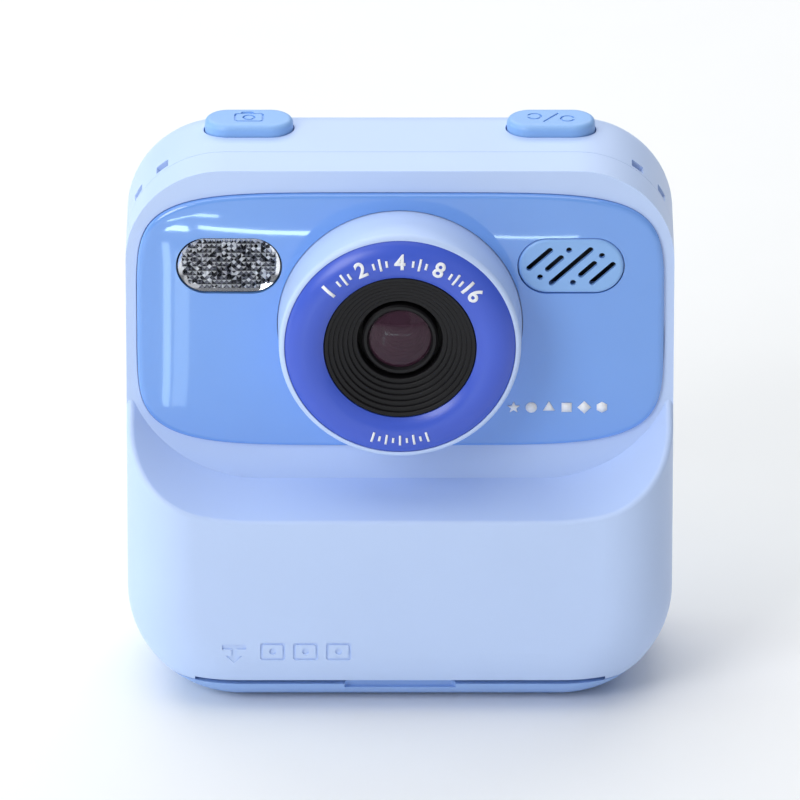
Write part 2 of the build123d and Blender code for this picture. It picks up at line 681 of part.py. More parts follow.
write(flash_reflector, "flash_reflector")

FLASH_BOARD = (14.2, 7.0)
with BuildPart() as flash_board:
    with BuildSketch(at_y(REFLECTOR_Y[1] + 1.05)):
        with Locations((-WINDOW_X, WINDOW_Z)):
            Rectangle(*FLASH_BOARD)
    extrude(amount=1.0)
write(flash_board, "flash_board")

SPEAKER_R = 7.0
SPEAKER_RIM_R = 7.6
SPEAKER_Y = (-6.0, -2.5)
with BuildPart() as speaker:
    with BuildSketch(at_y(SPEAKER_Y[1])):
        with Locations((WINDOW_X, WINDOW_Z)):
            Circle(SPEAKER_R)
    extrude(amount=SPEAKER_Y[1] - SPEAKER_Y[0])
    with BuildSketch(at_y(SPEAKER_Y[0])):
        with Locations((WINDOW_X, WINDOW_Z)):
            Circle(SPEAKER_RIM_R)
    extrude(amount=0.45)
write(speaker, "speaker")

# ---- electronics --------------------------------------------------------------------------------
BOARD_BACK_Y = BOARD_Y + BOARD_T
MAIN_BOARD = (70.0, 47.0)
MAIN_BOARD_Z = 69.5
PORT_TAB = (39.0, 61.0, 10.5, 27.0)  # x, z, width, height of the board's tongue towards the ports
with BuildPart() as main_board:
    with BuildSketch(at_y(BOARD_BACK_Y)):
        with Locations((0, MAIN_BOARD_Z)):
            RectangleRounded(*MAIN_BOARD, 1.5)
        with Locations(PORT_TAB[:2]):
            Rectangle(*PORT_TAB[2:])
        with Locations(*BOARD_POSTS):
            Circle(PILOT_R + 0.3, mode=Mode.SUBTRACT)
    extrude(amount=BOARD_T)
write(main_board, "main_board")

# x, z, width, height, thickness
CHIPS = [(-8.0, 56.0, 11.0, 11.0, 1.2), (10.0, 52.0, 7.0, 5.0, 1.0), (16.0, 60.0, 5.0, 5.0, 0.9)]
with BuildPart() as board_chips:
    for x, z, width, height, thick in CHIPS:
        with BuildSketch(at_y(BOARD_Y)):
            with Locations((x, z)):
                Rectangle(width, height)
        extrude(amount=thick)
write(board_chips, "board_chips")

USB_X = (37.4, 44.3)
USB_SHELL = (9.0, 3.2)
USB_INSIDE = (8.4, 2.6)
USB_TONGUE = (6.6, 0.6)
USB_SPOT = (USB_PORT[0] - 0.2, USB_PORT[1])
with BuildPart() as usb_port:
    with BuildSketch(at_x(USB_X[0])):
        with Locations(USB_SPOT):
            SlotOverall(*USB_SHELL, rotation=90)
            SlotOverall(*USB_INSIDE, rotation=90, mode=Mode.SUBTRACT)
    extrude(amount=USB_X[1] - USB_X[0])
    with BuildSketch(at_x(USB_X[0])):
        with Locations(USB_SPOT):
            SlotOverall(*USB_SHELL, rotation=90)
    extrude(amount=0.8)
    with BuildSketch(at_x(USB_X[0])):
        with Locations(USB_SPOT):
            Rectangle(USB_TONGUE[1], USB_TONGUE[0])
    extrude(amount=USB_X[1] - USB_X[0] - 1.3)
write(usb_port, "usb_port")

CARD_SLOT_X = (30.0, 44.0)
CARD_SLOT_T = 2.0
CARD_SLOT_HALF_W = 6.2
CARD_SHEET = 0.4
with BuildPart() as card_slot:
    y0, y1 = BOARD_BACK_Y, BOARD_BACK_Y + CARD_SLOT_T
    z0, z1 = CARD_PORT[1] - CARD_SLOT_HALF_W, CARD_PORT[1] + CARD_SLOT_HALF_W
    inside_y = (y0 + CARD_SHEET, y1 - CARD_SHEET)
    inside_z = (z0 + 2 * CARD_SHEET, z1 - 2 * CARD_SHEET)
    add(box_between(*CARD_SLOT_X, y0, y1, z0, z1))
    add(box_between(CARD_SLOT_X[0] + 1.0, CARD_SLOT_X[1] + 1.0, *inside_y, *inside_z), mode=Mode.SUBTRACT)
write(card_slot, "card_slot")

BATTERY_X = (-34.0, 20.0)
BATTERY_Y = (7.0, 12.0)
BATTERY_Z = (50.0, 84.0)
with BuildPart() as battery:
    add(box_between(*BATTERY_X, *BATTERY_Y, *BATTERY_Z))
    fillet(battery.edges().filter_by(Axis.X), 1.5)
write(battery, "battery")

DISPLAY_MODULE = (60.0, 43.0)
DISPLAY_MODULE_Y = (16.0, 19.4)
with BuildPart() as display_module:
    with BuildSketch(at_y(DISPLAY_MODULE_Y[1])):
        with Locations((0, DISPLAY_Z)):
            Rectangle(*DISPLAY_MODULE)
    extrude(amount=DISPLAY_MODULE_Y[1] - DISPLAY_MODULE_Y[0])
write(display_module, "display_module")

with BuildPart() as display_window:
    with BuildSketch(at_y(BACK_Y)):
        with Locations((0, DISPLAY_Z)):
            RectangleRounded(DISPLAY_W, DISPLAY_H, DISPLAY_CORNER_R)
    extrude(amount=WINDOW_T)
write(display_window, "display_window")

KEY_BOARD = (70.0, 28.0)
KEY_BOARD_Y = 17.8
with BuildPart() as key_board:
    with BuildSketch(at_y(KEY_BOARD_Y)):
        with Locations((0, PAD_Z)):
            RectangleRounded(*KEY_BOARD, 2.0)
    extrude(amount=1.0)
write(key_board, "key_board")

KEY_SWITCH_R = 1.8
KEY_SWITCH_T = 0.35
PAD_MID_R = (PAD_R + PAD_INNER_R) / 2
KEY_SPOTS = [(0, PAD_Z), (-SIDE_KEY_X, PAD_Z), (SIDE_KEY_X, PAD_Z)]
KEY_SPOTS += [(polar(PAD_MID_R, a)[0], PAD_Z + polar(PAD_MID_R, a)[1]) for a in (0, 90, 180, 270)]
with BuildPart() as key_switches:
    with BuildSketch(at_y(KEY_BOARD_Y + KEY_SWITCH_T)):
        with Locations(*KEY_SPOTS):
            Circle(KEY_SWITCH_R)
    extrude(amount=KEY_SWITCH_T)
write(key_switches, "key_switches")

TOP_BUTTONS = [(-BUTTON_X, BUTTON_Y), (BUTTON_X, BUTTON_Y)]
TOP_BOARD = (13.0, 8.0)
TOP_BOARD_Z = 92.2
TOP_BOARD_T = 1.0
SWITCH_BODY = 4.5
SWITCH_BODY_T = 0.6
SWITCH_PLUNGER_R = 1.2
SWITCH_PLUNGER_T = 0.5
with BuildPart() as top_button_boards:
    with BuildSketch(at_z(TOP_BOARD_Z)):
        with Locations(*TOP_BUTTONS):
            Rectangle(*TOP_BOARD)
    extrude(amount=TOP_BOARD_T)
write(top_button_boards, "top_button_boards")

with BuildPart() as top_switches:
    with BuildSketch(at_z(TOP_BOARD_Z + TOP_BOARD_T)):
        with Locations(*TOP_BUTTONS):
            Rectangle(SWITCH_BODY, SWITCH_BODY)
    extrude(amount=SWITCH_BODY_T)
    with BuildSketch(at_z(TOP_BOARD_Z + TOP_BOARD_T + SWITCH_BODY_T)):
        with Locations(*TOP_BUTTONS):
            Circle(SWITCH_PLUNGER_R)
    extrude(amount=SWITCH_PLUNGER_T)
write(top_switches, "top_switches")

# ---- fasteners ----------------------------------------------------------------------------------
def screws(spots, head_back_y, head_t, head_r, shank_r, tip_y):
    """Pan head screws along Y, driven from the back, with a cross recess in each head."""
    with BuildPart() as group:
        with BuildSketch(at_y(head_back_y)):
            with Locations(*spots):
                Circle(head_r)
        extrude(amount=head_t)
        with BuildSketch(at_y(head_back_y - head_t)):
            with Locations(*spots):
                Circle(shank_r)
        extrude(amount=head_back_y - head_t - tip_y)
        with BuildSketch(at_y(head_back_y)):
            with Locations(*spots):
                Rectangle(1.4 * head_r, 0.3 * head_r)
                Rectangle(0.3 * head_r, 1.4 * head_r)
        extrude(amount=0.6 * head_t, mode=Mode.SUBTRACT)
    return group


BOARD_SCREW_HEAD_T = 1.2
BOARD_SCREW_HEAD_R = 1.9
case_head_y = SCREW_SEAT_Y + SCREW_HEAD_T
board_head_y = BOARD_BACK_Y + BOARD_SCREW_HEAD_T
write(screws(SCREW_POSTS, case_head_y, SCREW_HEAD_T, SCREW_HEAD_R, PILOT_R, -1.5), "case_screws")
write(screws(BOARD_POSTS, board_head_y, BOARD_SCREW_HEAD_T, BOARD_SCREW_HEAD_R, PILOT_R, -2.5), "board_screws")

# ---- top buttons and rear keys --------------------------------------------------------------------
def top_button(x):
    """Stadium button through the top wall, held in by a flange under the wall."""
    with BuildPart() as button:
        with BuildSketch(at_z(BUTTON_FLANGE_Z)):
            with Locations((x, BUTTON_Y)):
                SlotOverall(BUTTON_W, BUTTON_D)
        extrude(amount=BUTTON_TOP_Z - BUTTON_FLANGE_Z)
        fillet(button.faces().sort_by(Axis.Z)[-1].edges(), 1.0)
        with BuildSketch(at_z(BUTTON_FLANGE_Z)):
            with Locations((x, BUTTON_Y)):
                SlotOverall(BUTTON_W + 2 * FLANGE, BUTTON_D + 2 * FLANGE)
        extrude(amount=0.6)
    return button


ICON_DEPTH = 0.3
camera_button = top_button(-BUTTON_X)
with BuildPart() as shutter_button:
    add(camera_button.part)
    with BuildSketch(at_z(BUTTON_TOP_Z - ICON_DEPTH)):
        with Locations((-BUTTON_X, BUTTON_Y)):
            RectangleRounded(5.2, 3.6, 0.6)
            with Locations((-0.3, 1.9)):
                RectangleRounded(2.2, 1.2, 0.3)
            RectangleRounded(4.5, 2.9, 0.4, mode=Mode.SUBTRACT)
            Circle(1.15)
            Circle(0.75, mode=Mode.SUBTRACT)
    extrude(amount=1.0, mode=Mode.SUBTRACT)
write(shutter_button, "shutter_button")

plain_button = top_button(BUTTON_X)
with BuildPart() as mode_button:
    add(plain_button.part)
    with BuildSketch(at_z(BUTTON_TOP_Z - ICON_DEPTH)):
        with Locations((BUTTON_X, BUTTON_Y)):
            Rectangle(0.35, 4.6, rotation=-35)
            for side in (-1, 1):
                with Locations((side * 2.9, -side * 0.5)):
                    Circle(1.35)
                    Circle(0.95, mode=Mode.SUBTRACT)
                    with Locations((side * 1.2, 0)):
                        Rectangle(0.9, 0.7, mode=Mode.SUBTRACT)
    extrude(amount=1.0, mode=Mode.SUBTRACT)
write(mode_button, "mode_button")


def arrow_key(direction):
    """Quarter of the key ring, centred on direction, with a triangle engraved in its face."""
    with BuildPart() as key:
        for back_y, r_out in ((KEY_FACE_Y, PAD_R), (KEY_FLANGE_Y + KEY_FLANGE_T, PAD_R + 1.0)):
            with BuildSketch(at_y(back_y)):
                with Locations((0, PAD_Z)):
                    Circle(r_out)
                    Circle(PAD_INNER_R, mode=Mode.SUBTRACT)
                    tip = Vector(*polar(PAD_CUT * math.sqrt(2), direction))
                    arms = [tip + Vector(*polar(2 * PAD_R, direction + side * 45)) for side in (-1, 1)]
                    Polygon(*[(p.X, p.Y) for p in (tip, *arms)], align=None, mode=Mode.INTERSECT)
            extrude(amount=back_y - KEY_FLANGE_Y)
        face = key.faces().sort_by(Axis.Y)[-1]
        fillet(face.edges(), 0.5)
        with BuildSketch(at_y(KEY_FACE_Y - ICON_DEPTH)):
            spot = polar(PAD_MID_R + 0.4, direction)
            with Locations((spot[0], PAD_Z + spot[1])):
                RegularPolygon(1.3, 3, rotation=direction)
        extrude(amount=-1.0, mode=Mode.SUBTRACT)
    return key


for key_name, key_direction in (("right_key", 0), ("up_key", 90), ("left_key", 180), ("down_key", 270)):
    write(arrow_key(key_direction), key_name)

with BuildPart() as ok_key:
    with BuildSketch(at_y(KEY_FACE_Y)):
        with Locations((0, PAD_Z)):
            Circle(OK_R)
    extrude(amount=KEY_FACE_Y - KEY_FLANGE_Y)
    fillet(ok_key.faces().sort_by(Axis.Y)[-1].edges(), 0.6)
    with BuildSketch(at_y(KEY_FACE_Y - ICON_DEPTH)):
        with Locations((0, PAD_Z)):
            Circle(1.6)
            Circle(1.1, mode=Mode.SUBTRACT)
    extrude(amount=-1.0, mode=Mode.SUBTRACT)
write(ok_key, "ok_key")


def side_key(x):
    with BuildPart() as key:
        with BuildSketch(at_y(KEY_FACE_Y)):
            with Locations((x, PAD_Z)):
                SlotOverall(SIDE_KEY_W, SIDE_KEY_H)
        extrude(amount=KEY_FACE_Y - KEY_FLANGE_Y)
        fillet(key.faces().sort_by(Axis.Y)[-1].edges(), 0.6)
        with BuildSketch(at_y(KEY_FLANGE_Y + KEY_FLANGE_T)):
            with Locations((x, PAD_Z)):
                SlotOverall(SIDE_KEY_W + 2 * KEY_FLANGE, SIDE_KEY_H + 2 * KEY_FLANGE)
        extrude(amount=KEY_FLANGE_T)
    return key


plain_play_key = side_key(-SIDE_KEY_X)
with BuildPart() as play_key:
    add(plain_play_key.part)
    with BuildSketch(at_y(KEY_FACE_Y - ICON_DEPTH)):
        with Locations((-SIDE_KEY_X, PAD_Z)):
            RegularPolygon(1.7, 3, rotation=180)
    extrude(amount=-1.0, mode=Mode.SUBTRACT)
write(play_key, "play_key")

plain_menu_key = side_key(SIDE_KEY_X)
with BuildPart() as menu_key:
    add(plain_menu_key.part)
    with BuildSketch(at_y(KEY_FACE_Y - ICON_DEPTH)):
        with Locations(*[(SIDE_KEY_X, PAD_Z + step) for step in (-1.2, 0, 1.2)]):
            Rectangle(3.4, 0.45)
    extrude(amount=-1.0, mode=Mode.SUBTRACT)
write(menu_key, "menu_key")

# ---- port cover -----------------------------------------------------------------------------------
COVER_PIVOT_X = 47.3
COVER_PIVOT_Z = PORT_Z[0] + 0.95
COVER_NOSE_R = 0.7
COVER_INNER_X = 46.6
COVER_Y0 = PORT_Y[0] + 0.2
COVER_Y1 = PORT_Y[1] - 0.2
with BuildPart() as port_cover:
    add(box_between(COVER_INNER_X, HALF_W, COVER_Y0, COVER_Y1, COVER_PIVOT_Z, PORT_Z[1] - 0.2))
    upright = port_cover.edges().filter_by(Axis.X).group_by(Axis.Z)[-1]
    fillet(upright, 0.9)
    with BuildSketch(at_y(COVER_Y1)):
        with Locations((COVER_PIVOT_X, COVER_PIVOT_Z)):
            Circle(COVER_NOSE_R)
    extrude(amount=COVER_Y1 - COVER_Y0)
write(port_cover, "port_cover")

# ---- paper door -----------------------------------------------------------------------------------
with BuildPart() as door_nose:
    for x0, x1 in (
        (-NOSE_HALF_W, -LUG_X - LUG_T / 2 - GAP),
        (-LUG_X + LUG_T / 2 + GAP, LUG_X - LUG_T / 2 - GAP),
        (LUG_X + LUG_T / 2 + GAP, NOSE_HALF_W),
    ):
        with BuildSketch(at_x(x0)):
            with Locations((PIN_Y, PIN_Z)):
                Circle(NOSE_R)
            with Locations((PIN_Y - NOSE_R / 2, PIN_Z - 1.0)):
                Rectangle(NOSE_R, NOSE_FOOT_H)
        extrude(amount=x1 - x0)
    add(outer, mode=Mode.INTERSECT)

LUG_ROOM = 3.4  # the door is cut away this far around the pin beside each lug
with BuildPart() as door_cuts:
    add(box_between(-CASE_W, CASE_W, PIN_Y, 2 * CASE_W, -1.0, CASE_H))
    for side in (-1, 1):
        x0 = side * LUG_X - LUG_T / 2 - GAP
        add(box_between(x0, x0 + LUG_T + 2 * GAP, PIN_Y - LUG_ROOM, PIN_Y + LUG_ROOM, -1.0, CASE_H))

BRACKET_BORE_R = 2.5
BRACKET_R = 3.3
BRACKET_FOOT_Z = 1.7  # inside the door's floor, clear of its rounded front
with BuildPart() as paper_door:
    add(outer)
    add(inner, mode=Mode.SUBTRACT)
    split(bisect_by=at_z(DOOR_TOP_Z), keep=Keep.BOTTOM)
    add(door_cuts.part, mode=Mode.SUBTRACT)
    add(door_nose.part)
    with BuildSketch(at_x(-NOSE_HALF_W - 1.0)):
        with Locations((PIN_Y, PIN_Z)):
            Circle(PIN_R + RUNNING)
    extrude(amount=2 * NOSE_HALF_W + 2.0, mode=Mode.SUBTRACT)
    # Brackets for the platen's bearings.
    for x0 in (-BRACKET_X - BRACKET_T, BRACKET_X):
        with BuildSketch(at_x(x0)):
            with Locations((PLATEN_Y, (PLATEN_Z + BRACKET_FOOT_Z) / 2)):
                Rectangle(2 * BRACKET_R, PLATEN_Z - BRACKET_FOOT_Z)
            with Locations((PLATEN_Y, PLATEN_Z)):
                Circle(BRACKET_R)
                Circle(BRACKET_BORE_R, mode=Mode.SUBTRACT)
        extrude(amount=BRACKET_T)
    # Shallow finger notch in the front lip.
    with BuildSketch(at_z(DOOR_TOP_Z - 1.0)):
        with Locations((0, FRONT_Y - 2.0)):
            RectangleRounded(2 * NOTCH_HALF_W, 2 * NOTCH_REACH, 1.0)
    extrude(amount=2.0, mode=Mode.SUBTRACT)
write(paper_door, "paper_door")

with BuildPart() as hinge_pin:
    with BuildSketch(at_x(-LUG_X - LUG_T / 2)):
        with Locations((PIN_Y, PIN_Z)):
            Circle(PIN_R)
    extrude(amount=2 * LUG_X + LUG_T)
write(hinge_pin, "hinge_pin")

with BuildPart() as platen_bearings:
    for x0 in (-BRACKET_X - BRACKET_T, BRACKET_X):
        with BuildSketch(at_x(x0)):
            with Locations((PLATEN_Y, PLATEN_Z)):
                Circle(BRACKET_BORE_R)
                Circle(PLATEN_SHAFT_R + RUNNING, mode=Mode.SUBTRACT)
        extrude(amount=BRACKET_T)
write(platen_bearings, "platen_bearings")

# ---- platen and gear train ------------------------------------------------------------------------
with BuildPart() as platen_shaft:
    with BuildSketch(at_x(-BRACKET_X - BRACKET_T - 0.4)):
        with Locations((PLATEN_Y, PLATEN_Z)):
            Circle(PLATEN_SHAFT_R)
    extrude(amount=BRACKET_X + BRACKET_T + 0.4 + GEAR_X + GEAR_T)
write(platen_shaft, "platen_shaft")

with BuildPart() as platen_rubber:
    with BuildSketch(at_x(-PAPER_HALF_W)):
        with Locations((PLATEN_Y, PLATEN_Z)):
            Circle(PLATEN_R)
            Circle(PLATEN_SHAFT_R, mode=Mode.SUBTRACT)
    extrude(amount=2 * PAPER_HALF_W)
write(platen_rubber, "platen_rubber")

PLATEN_PITCH_R = MODULE * PLATEN_TEETH / 2
IDLER_PITCH_R = MODULE * IDLER_TEETH / 2
PINION_PITCH_R = MODULE * PINION_TEETH / 2
IDLER_REACH = polar(PLATEN_PITCH_R + IDLER_PITCH_R, IDLER_DIRECTION)
IDLER_Y = PLATEN_Y + IDLER_REACH[0]
IDLER_Z = PLATEN_Z + IDLER_REACH[1]
PINION_REACH = polar(IDLER_PITCH_R + PINION_PITCH_R, PINION_DIRECTION)
PINION_Y = IDLER_Y + PINION_REACH[0]
PINION_Z = IDLER_Z + PINION_REACH[1]

# A tooth of the platen gear points at a gap of the idler, and the idler's teeth at the pinion's gaps.
PLATEN_PHASE = IDLER_DIRECTION
IDLER_PHASE = IDLER_DIRECTION + 180 + 180 / IDLER_TEETH
IDLER_LEAD = (IDLER_PHASE - PINION_DIRECTION) * IDLER_TEETH / PINION_TEETH
PINION_PHASE = PINION_DIRECTION + 180 - IDLER_LEAD + 180 / PINION_TEETH


def gear(y, z, teeth, phase, bore_r):
    with BuildPart() as wheel:
        with BuildSketch(at_x(GEAR_X)):
            with Locations((y, z)):
                add(gear_outline(teeth, phase))
                Circle(bore_r, mode=Mode.SUBTRACT)
        extrude(amount=GEAR_T)
    return wheel


AXLE_R = 1.0
MOTOR_SHAFT_R = 0.75
write(gear(PLATEN_Y, PLATEN_Z, PLATEN_TEETH, PLATEN_PHASE, PLATEN_SHAFT_R), "platen_gear")
write(gear(IDLER_Y, IDLER_Z, IDLER_TEETH, IDLER_PHASE, AXLE_R + RUNNING), "idler_gear")
plain_pinion = gear(PINION_Y, PINION_Z, PINION_TEETH, PINION_PHASE, 0.3)
MOTOR_X = GEAR_PLATE_X + GEAR_PLATE_T
with BuildPart() as motor_pinion:
    add(plain_pinion.part)
    with BuildSketch(at_x(GEAR_X)):
        with Locations((PINION_Y, PINION_Z)):
            Circle(MOTOR_SHAFT_R)
    extrude(amount=MOTOR_X + MOTOR_SHAFT_REACH - GEAR_X)
write(motor_pinion, "motor_pinion")

with BuildPart() as feed_motor:
    with BuildSketch(at_x(MOTOR_X)):
        with Locations((PINION_Y, PINION_Z)):
            Circle(MOTOR_R)
    extrude(amount=MOTOR_LENGTH)
    fillet(feed_motor.faces().sort_by(Axis.X)[-1].edges(), 0.8)
    with BuildSketch(at_x(MOTOR_X)):
        with Locations((PINION_Y, PINION_Z)):
            Circle(MOTOR_SHAFT_R + RUNNING)
    extrude(amount=MOTOR_SHAFT_REACH + 0.3, mode=Mode.SUBTRACT)
write(feed_motor, "feed_motor")

with BuildPart() as idler_axle:
    with BuildSketch(at_x(FRAME_X)):
        with Locations((IDLER_Y, IDLER_Z)):
            Circle(AXLE_R)
    extrude(amount=MOTOR_X - FRAME_X)
write(idler_axle, "idler_axle")

# ---- paper roll -----------------------------------------------------------------------------------
with BuildPart() as paper_roll:
    with BuildSketch(at_x(-PAPER_HALF_W)):
        with Locations((ROLL_Y, ROLL_Z)):
            Circle(ROLL_R)
            Circle(CORE_R, mode=Mode.SUBTRACT)
    extrude(amount=2 * PAPER_HALF_W)
write(paper_roll, "paper_roll")

with BuildPart() as roll_core:
    with BuildSketch(at_x(-PAPER_HALF_W)):
        with Locations((ROLL_Y, ROLL_Z)):
            Circle(CORE_R)
            Circle(CORE_BORE_R, mode=Mode.SUBTRACT)
    extrude(amount=2 * PAPER_HALF_W)
write(roll_core, "roll_core")

# ---- printer frame, thermal head and cutter -------------------------------------------------------
FRAME_Y = (-19.6, 14.0)
FRAME_Z = (11.8, 34.6)
HUB_R = 5.7
GEAR_PLATE_POSTS = [(-1.5, 15.0), (-14.0, 26.5)]
GEAR_PLATE = (-7.0, 20.5, 19.0, 16.0)  # y, z, depth, height
POST_R = 1.5
HUB_REACH = 2.4
BRIDGE_Y = 12.0
BRIDGE_T = 1.2
HEAD_NORMAL = Vector(*polar(1.0, HEAD_TILT))
HEAD_ALONG = Vector(*polar(1.0, HEAD_TILT - 90))


def head_block(half_w, near, far, low, high):
    """Block between two distances from the platen's axis, and from low to high along the head."""
    corners = []
    for out, along in ((near, low), (near, high), (far, high), (far, low)):
        spot = HEAD_NORMAL * out + HEAD_ALONG * along
        corners.append((PLATEN_Y + spot.X, PLATEN_Z + spot.Y))
    with BuildPart() as block:
        with BuildSketch(at_x(-half_w)):
            Polygon(*corners, align=None)
        extrude(amount=2 * half_w)
    return block


HEAD_NEAR = PLATEN_R + HEAD_GAP
HEAD_T = 1.0
SINK_T = 3.0
SPRING_H = 3.2
BAR_T = 1.4
with BuildPart() as printer_frame:
    for x0, inward in ((-FRAME_X - FRAME_T, 1), (FRAME_X, -1)):
        with BuildSketch(at_x(x0)):
            with Locations(((FRAME_Y[0] + FRAME_Y[1]) / 2, (FRAME_Z[0] + FRAME_Z[1]) / 2)):
                RectangleRounded(FRAME_Y[1] - FRAME_Y[0], FRAME_Z[1] - FRAME_Z[0], 2.0)
        extrude(amount=FRAME_T)
        hub_x = x0 + FRAME_T if inward > 0 else x0
        with BuildSketch(at_x(hub_x)):
            with Locations((ROLL_Y, ROLL_Z)):
                Circle(HUB_R)
        extrude(amount=inward * HUB_REACH)
    bridge_z = (FRAME_Z[1] - BRIDGE_T - 0.2, FRAME_Z[1] - 0.2)
    add(box_between(-FRAME_X - 0.5, FRAME_X + 0.5, -BRIDGE_Y, BRIDGE_Y, *bridge_z))
    bar_near = HEAD_NEAR + HEAD_T + SINK_T + SPRING_H
    add(head_block(FRAME_X + 0.5, bar_near, bar_near + BAR_T, 1.0, 7.5).part)
    # Outer plate that carries the motor, on two posts.
    with BuildSketch(at_x(FRAME_X)):
        with Locations(*GEAR_PLATE_POSTS):
            Circle(POST_R)
    extrude(amount=GEAR_PLATE_X + 0.4 - FRAME_X)
    with BuildSketch(at_x(GEAR_PLATE_X)):
        with Locations(GEAR_PLATE[:2]):
            RectangleRounded(*GEAR_PLATE[2:], 2.0)
    extrude(amount=GEAR_PLATE_T)
    with BuildSketch(at_x(FRAME_X - 0.1)):
        with Locations((IDLER_Y, IDLER_Z)):
            Circle(AXLE_R)
    extrude(amount=6.0, mode=Mode.SUBTRACT)
    with BuildSketch(at_x(GEAR_PLATE_X - 0.1)):
        with Locations((PINION_Y, PINION_Z)):
            Circle(MOTOR_SHAFT_R + RUNNING)
    extrude(amount=2.0, mode=Mode.SUBTRACT)
write(printer_frame, "printer_frame")

write(head_block(PAPER_HALF_W - 0.5, HEAD_NEAR, HEAD_NEAR + HEAD_T, -2.0, 7.0), "thermal_head")
sink_near = HEAD_NEAR + HEAD_T
write(head_block(PAPER_HALF_W, sink_near, sink_near + SINK_T, -1.8, 7.0), "head_heatsink")

SPRING_X = 18.0
SPRING_R = 1.3
SPRING_WIRE_R = 0.2
SPRING_CLEAR = 0.72  # from the heat sink to the middle of the first coil
SPRING_ALONG = 4.2
with BuildPart() as head_springs:
    base = HEAD_NORMAL * (sink_near + SINK_T + SPRING_CLEAR) + HEAD_ALONG * SPRING_ALONG
    for x in (-SPRING_X, SPRING_X):
        foot = Plane(
            origin=(x, PLATEN_Y + base.X, PLATEN_Z + base.Y),
            x_dir=(1, 0, 0),
            z_dir=(0, HEAD_NORMAL.X, HEAD_NORMAL.Y),
        )
        with BuildLine(foot):
            coil = Helix(pitch=0.8, height=SPRING_H - 1.6 * SPRING_CLEAR, radius=SPRING_R)
        with BuildSketch(Plane(origin=coil @ 0, z_dir=coil % 0)):
            Circle(SPRING_WIRE_R)
        sweep(path=coil)
write(head_springs, "head_springs")

TEETH_PITCH = 1.2
TOOTH_R = 0.62
BLADE_Y = -18.2
BLADE_Z = (7.1, 9.3)
BLADE_T = 0.3
with BuildPart() as cutter_blade:
    with BuildSketch(at_y(BLADE_Y)):
        with Locations((0, (BLADE_Z[0] + BLADE_Z[1]) / 2)):
            Rectangle(2 * PAPER_HALF_W, BLADE_Z[1] - BLADE_Z[0])
        count = int(2 * PAPER_HALF_W / TEETH_PITCH)
        with Locations((0, BLADE_Z[0])):
            with GridLocations(TEETH_PITCH, 1, count, 1):
                RegularPolygon(TOOTH_R, 3, rotation=-90)
    extrude(amount=BLADE_T)
write(cutter_blade, "cutter_blade")
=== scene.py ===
import math
import random

import bmesh
import bpy
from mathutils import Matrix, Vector


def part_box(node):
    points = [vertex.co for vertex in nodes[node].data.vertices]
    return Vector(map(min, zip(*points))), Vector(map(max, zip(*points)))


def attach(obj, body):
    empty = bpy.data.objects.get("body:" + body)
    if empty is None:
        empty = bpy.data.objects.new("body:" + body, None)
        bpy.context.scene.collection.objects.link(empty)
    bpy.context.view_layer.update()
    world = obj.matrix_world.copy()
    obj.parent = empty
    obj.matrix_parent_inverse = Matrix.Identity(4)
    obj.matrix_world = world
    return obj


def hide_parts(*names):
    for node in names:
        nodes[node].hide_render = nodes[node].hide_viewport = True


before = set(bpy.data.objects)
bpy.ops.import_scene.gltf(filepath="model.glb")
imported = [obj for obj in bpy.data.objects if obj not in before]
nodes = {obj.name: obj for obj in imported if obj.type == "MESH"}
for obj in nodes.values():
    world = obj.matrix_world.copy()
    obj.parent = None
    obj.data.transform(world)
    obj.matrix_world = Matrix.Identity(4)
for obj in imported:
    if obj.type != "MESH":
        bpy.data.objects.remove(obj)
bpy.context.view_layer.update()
MM = 0.001
SQUARE = ((-1, -1), (1, -1), (1, 1), (-1, 1))

# ---- places read from the frame ---------------------------------------------------------------
panel_low, panel_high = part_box("front_panel")
bezel_low, bezel_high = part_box("lens_bezel")
baffle_low, baffle_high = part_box("lens_baffle")
flash_low, flash_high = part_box("flash_lens")
grille_low, grille_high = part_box("speaker_grille")
barrel_low, barrel_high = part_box("lens_barrel")
glass_low, glass_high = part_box("lens_cover_glass")
module_low, module_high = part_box("camera_module")
window_low, window_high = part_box("display_window")
LENS_Z = (bezel_low.z + bezel_high.z) / 2
BEZEL_R = (bezel_high.x - bezel_low.x) / 2
BARREL_R = (barrel_high.x - barrel_low.x) / 2
BAFFLE_R = (baffle_high.x - baffle_low.x) / 2
GLASS_R = (glass_high.x - glass_low.x) / 2


# ---- materials ----------------------------------------------------------------------------------
DRIFT_SCALE = 45.0  # patches of about 2 cm
GLOSS_DRIFT = 0.03
GRAIN_DEPTH = 0.05 * MM


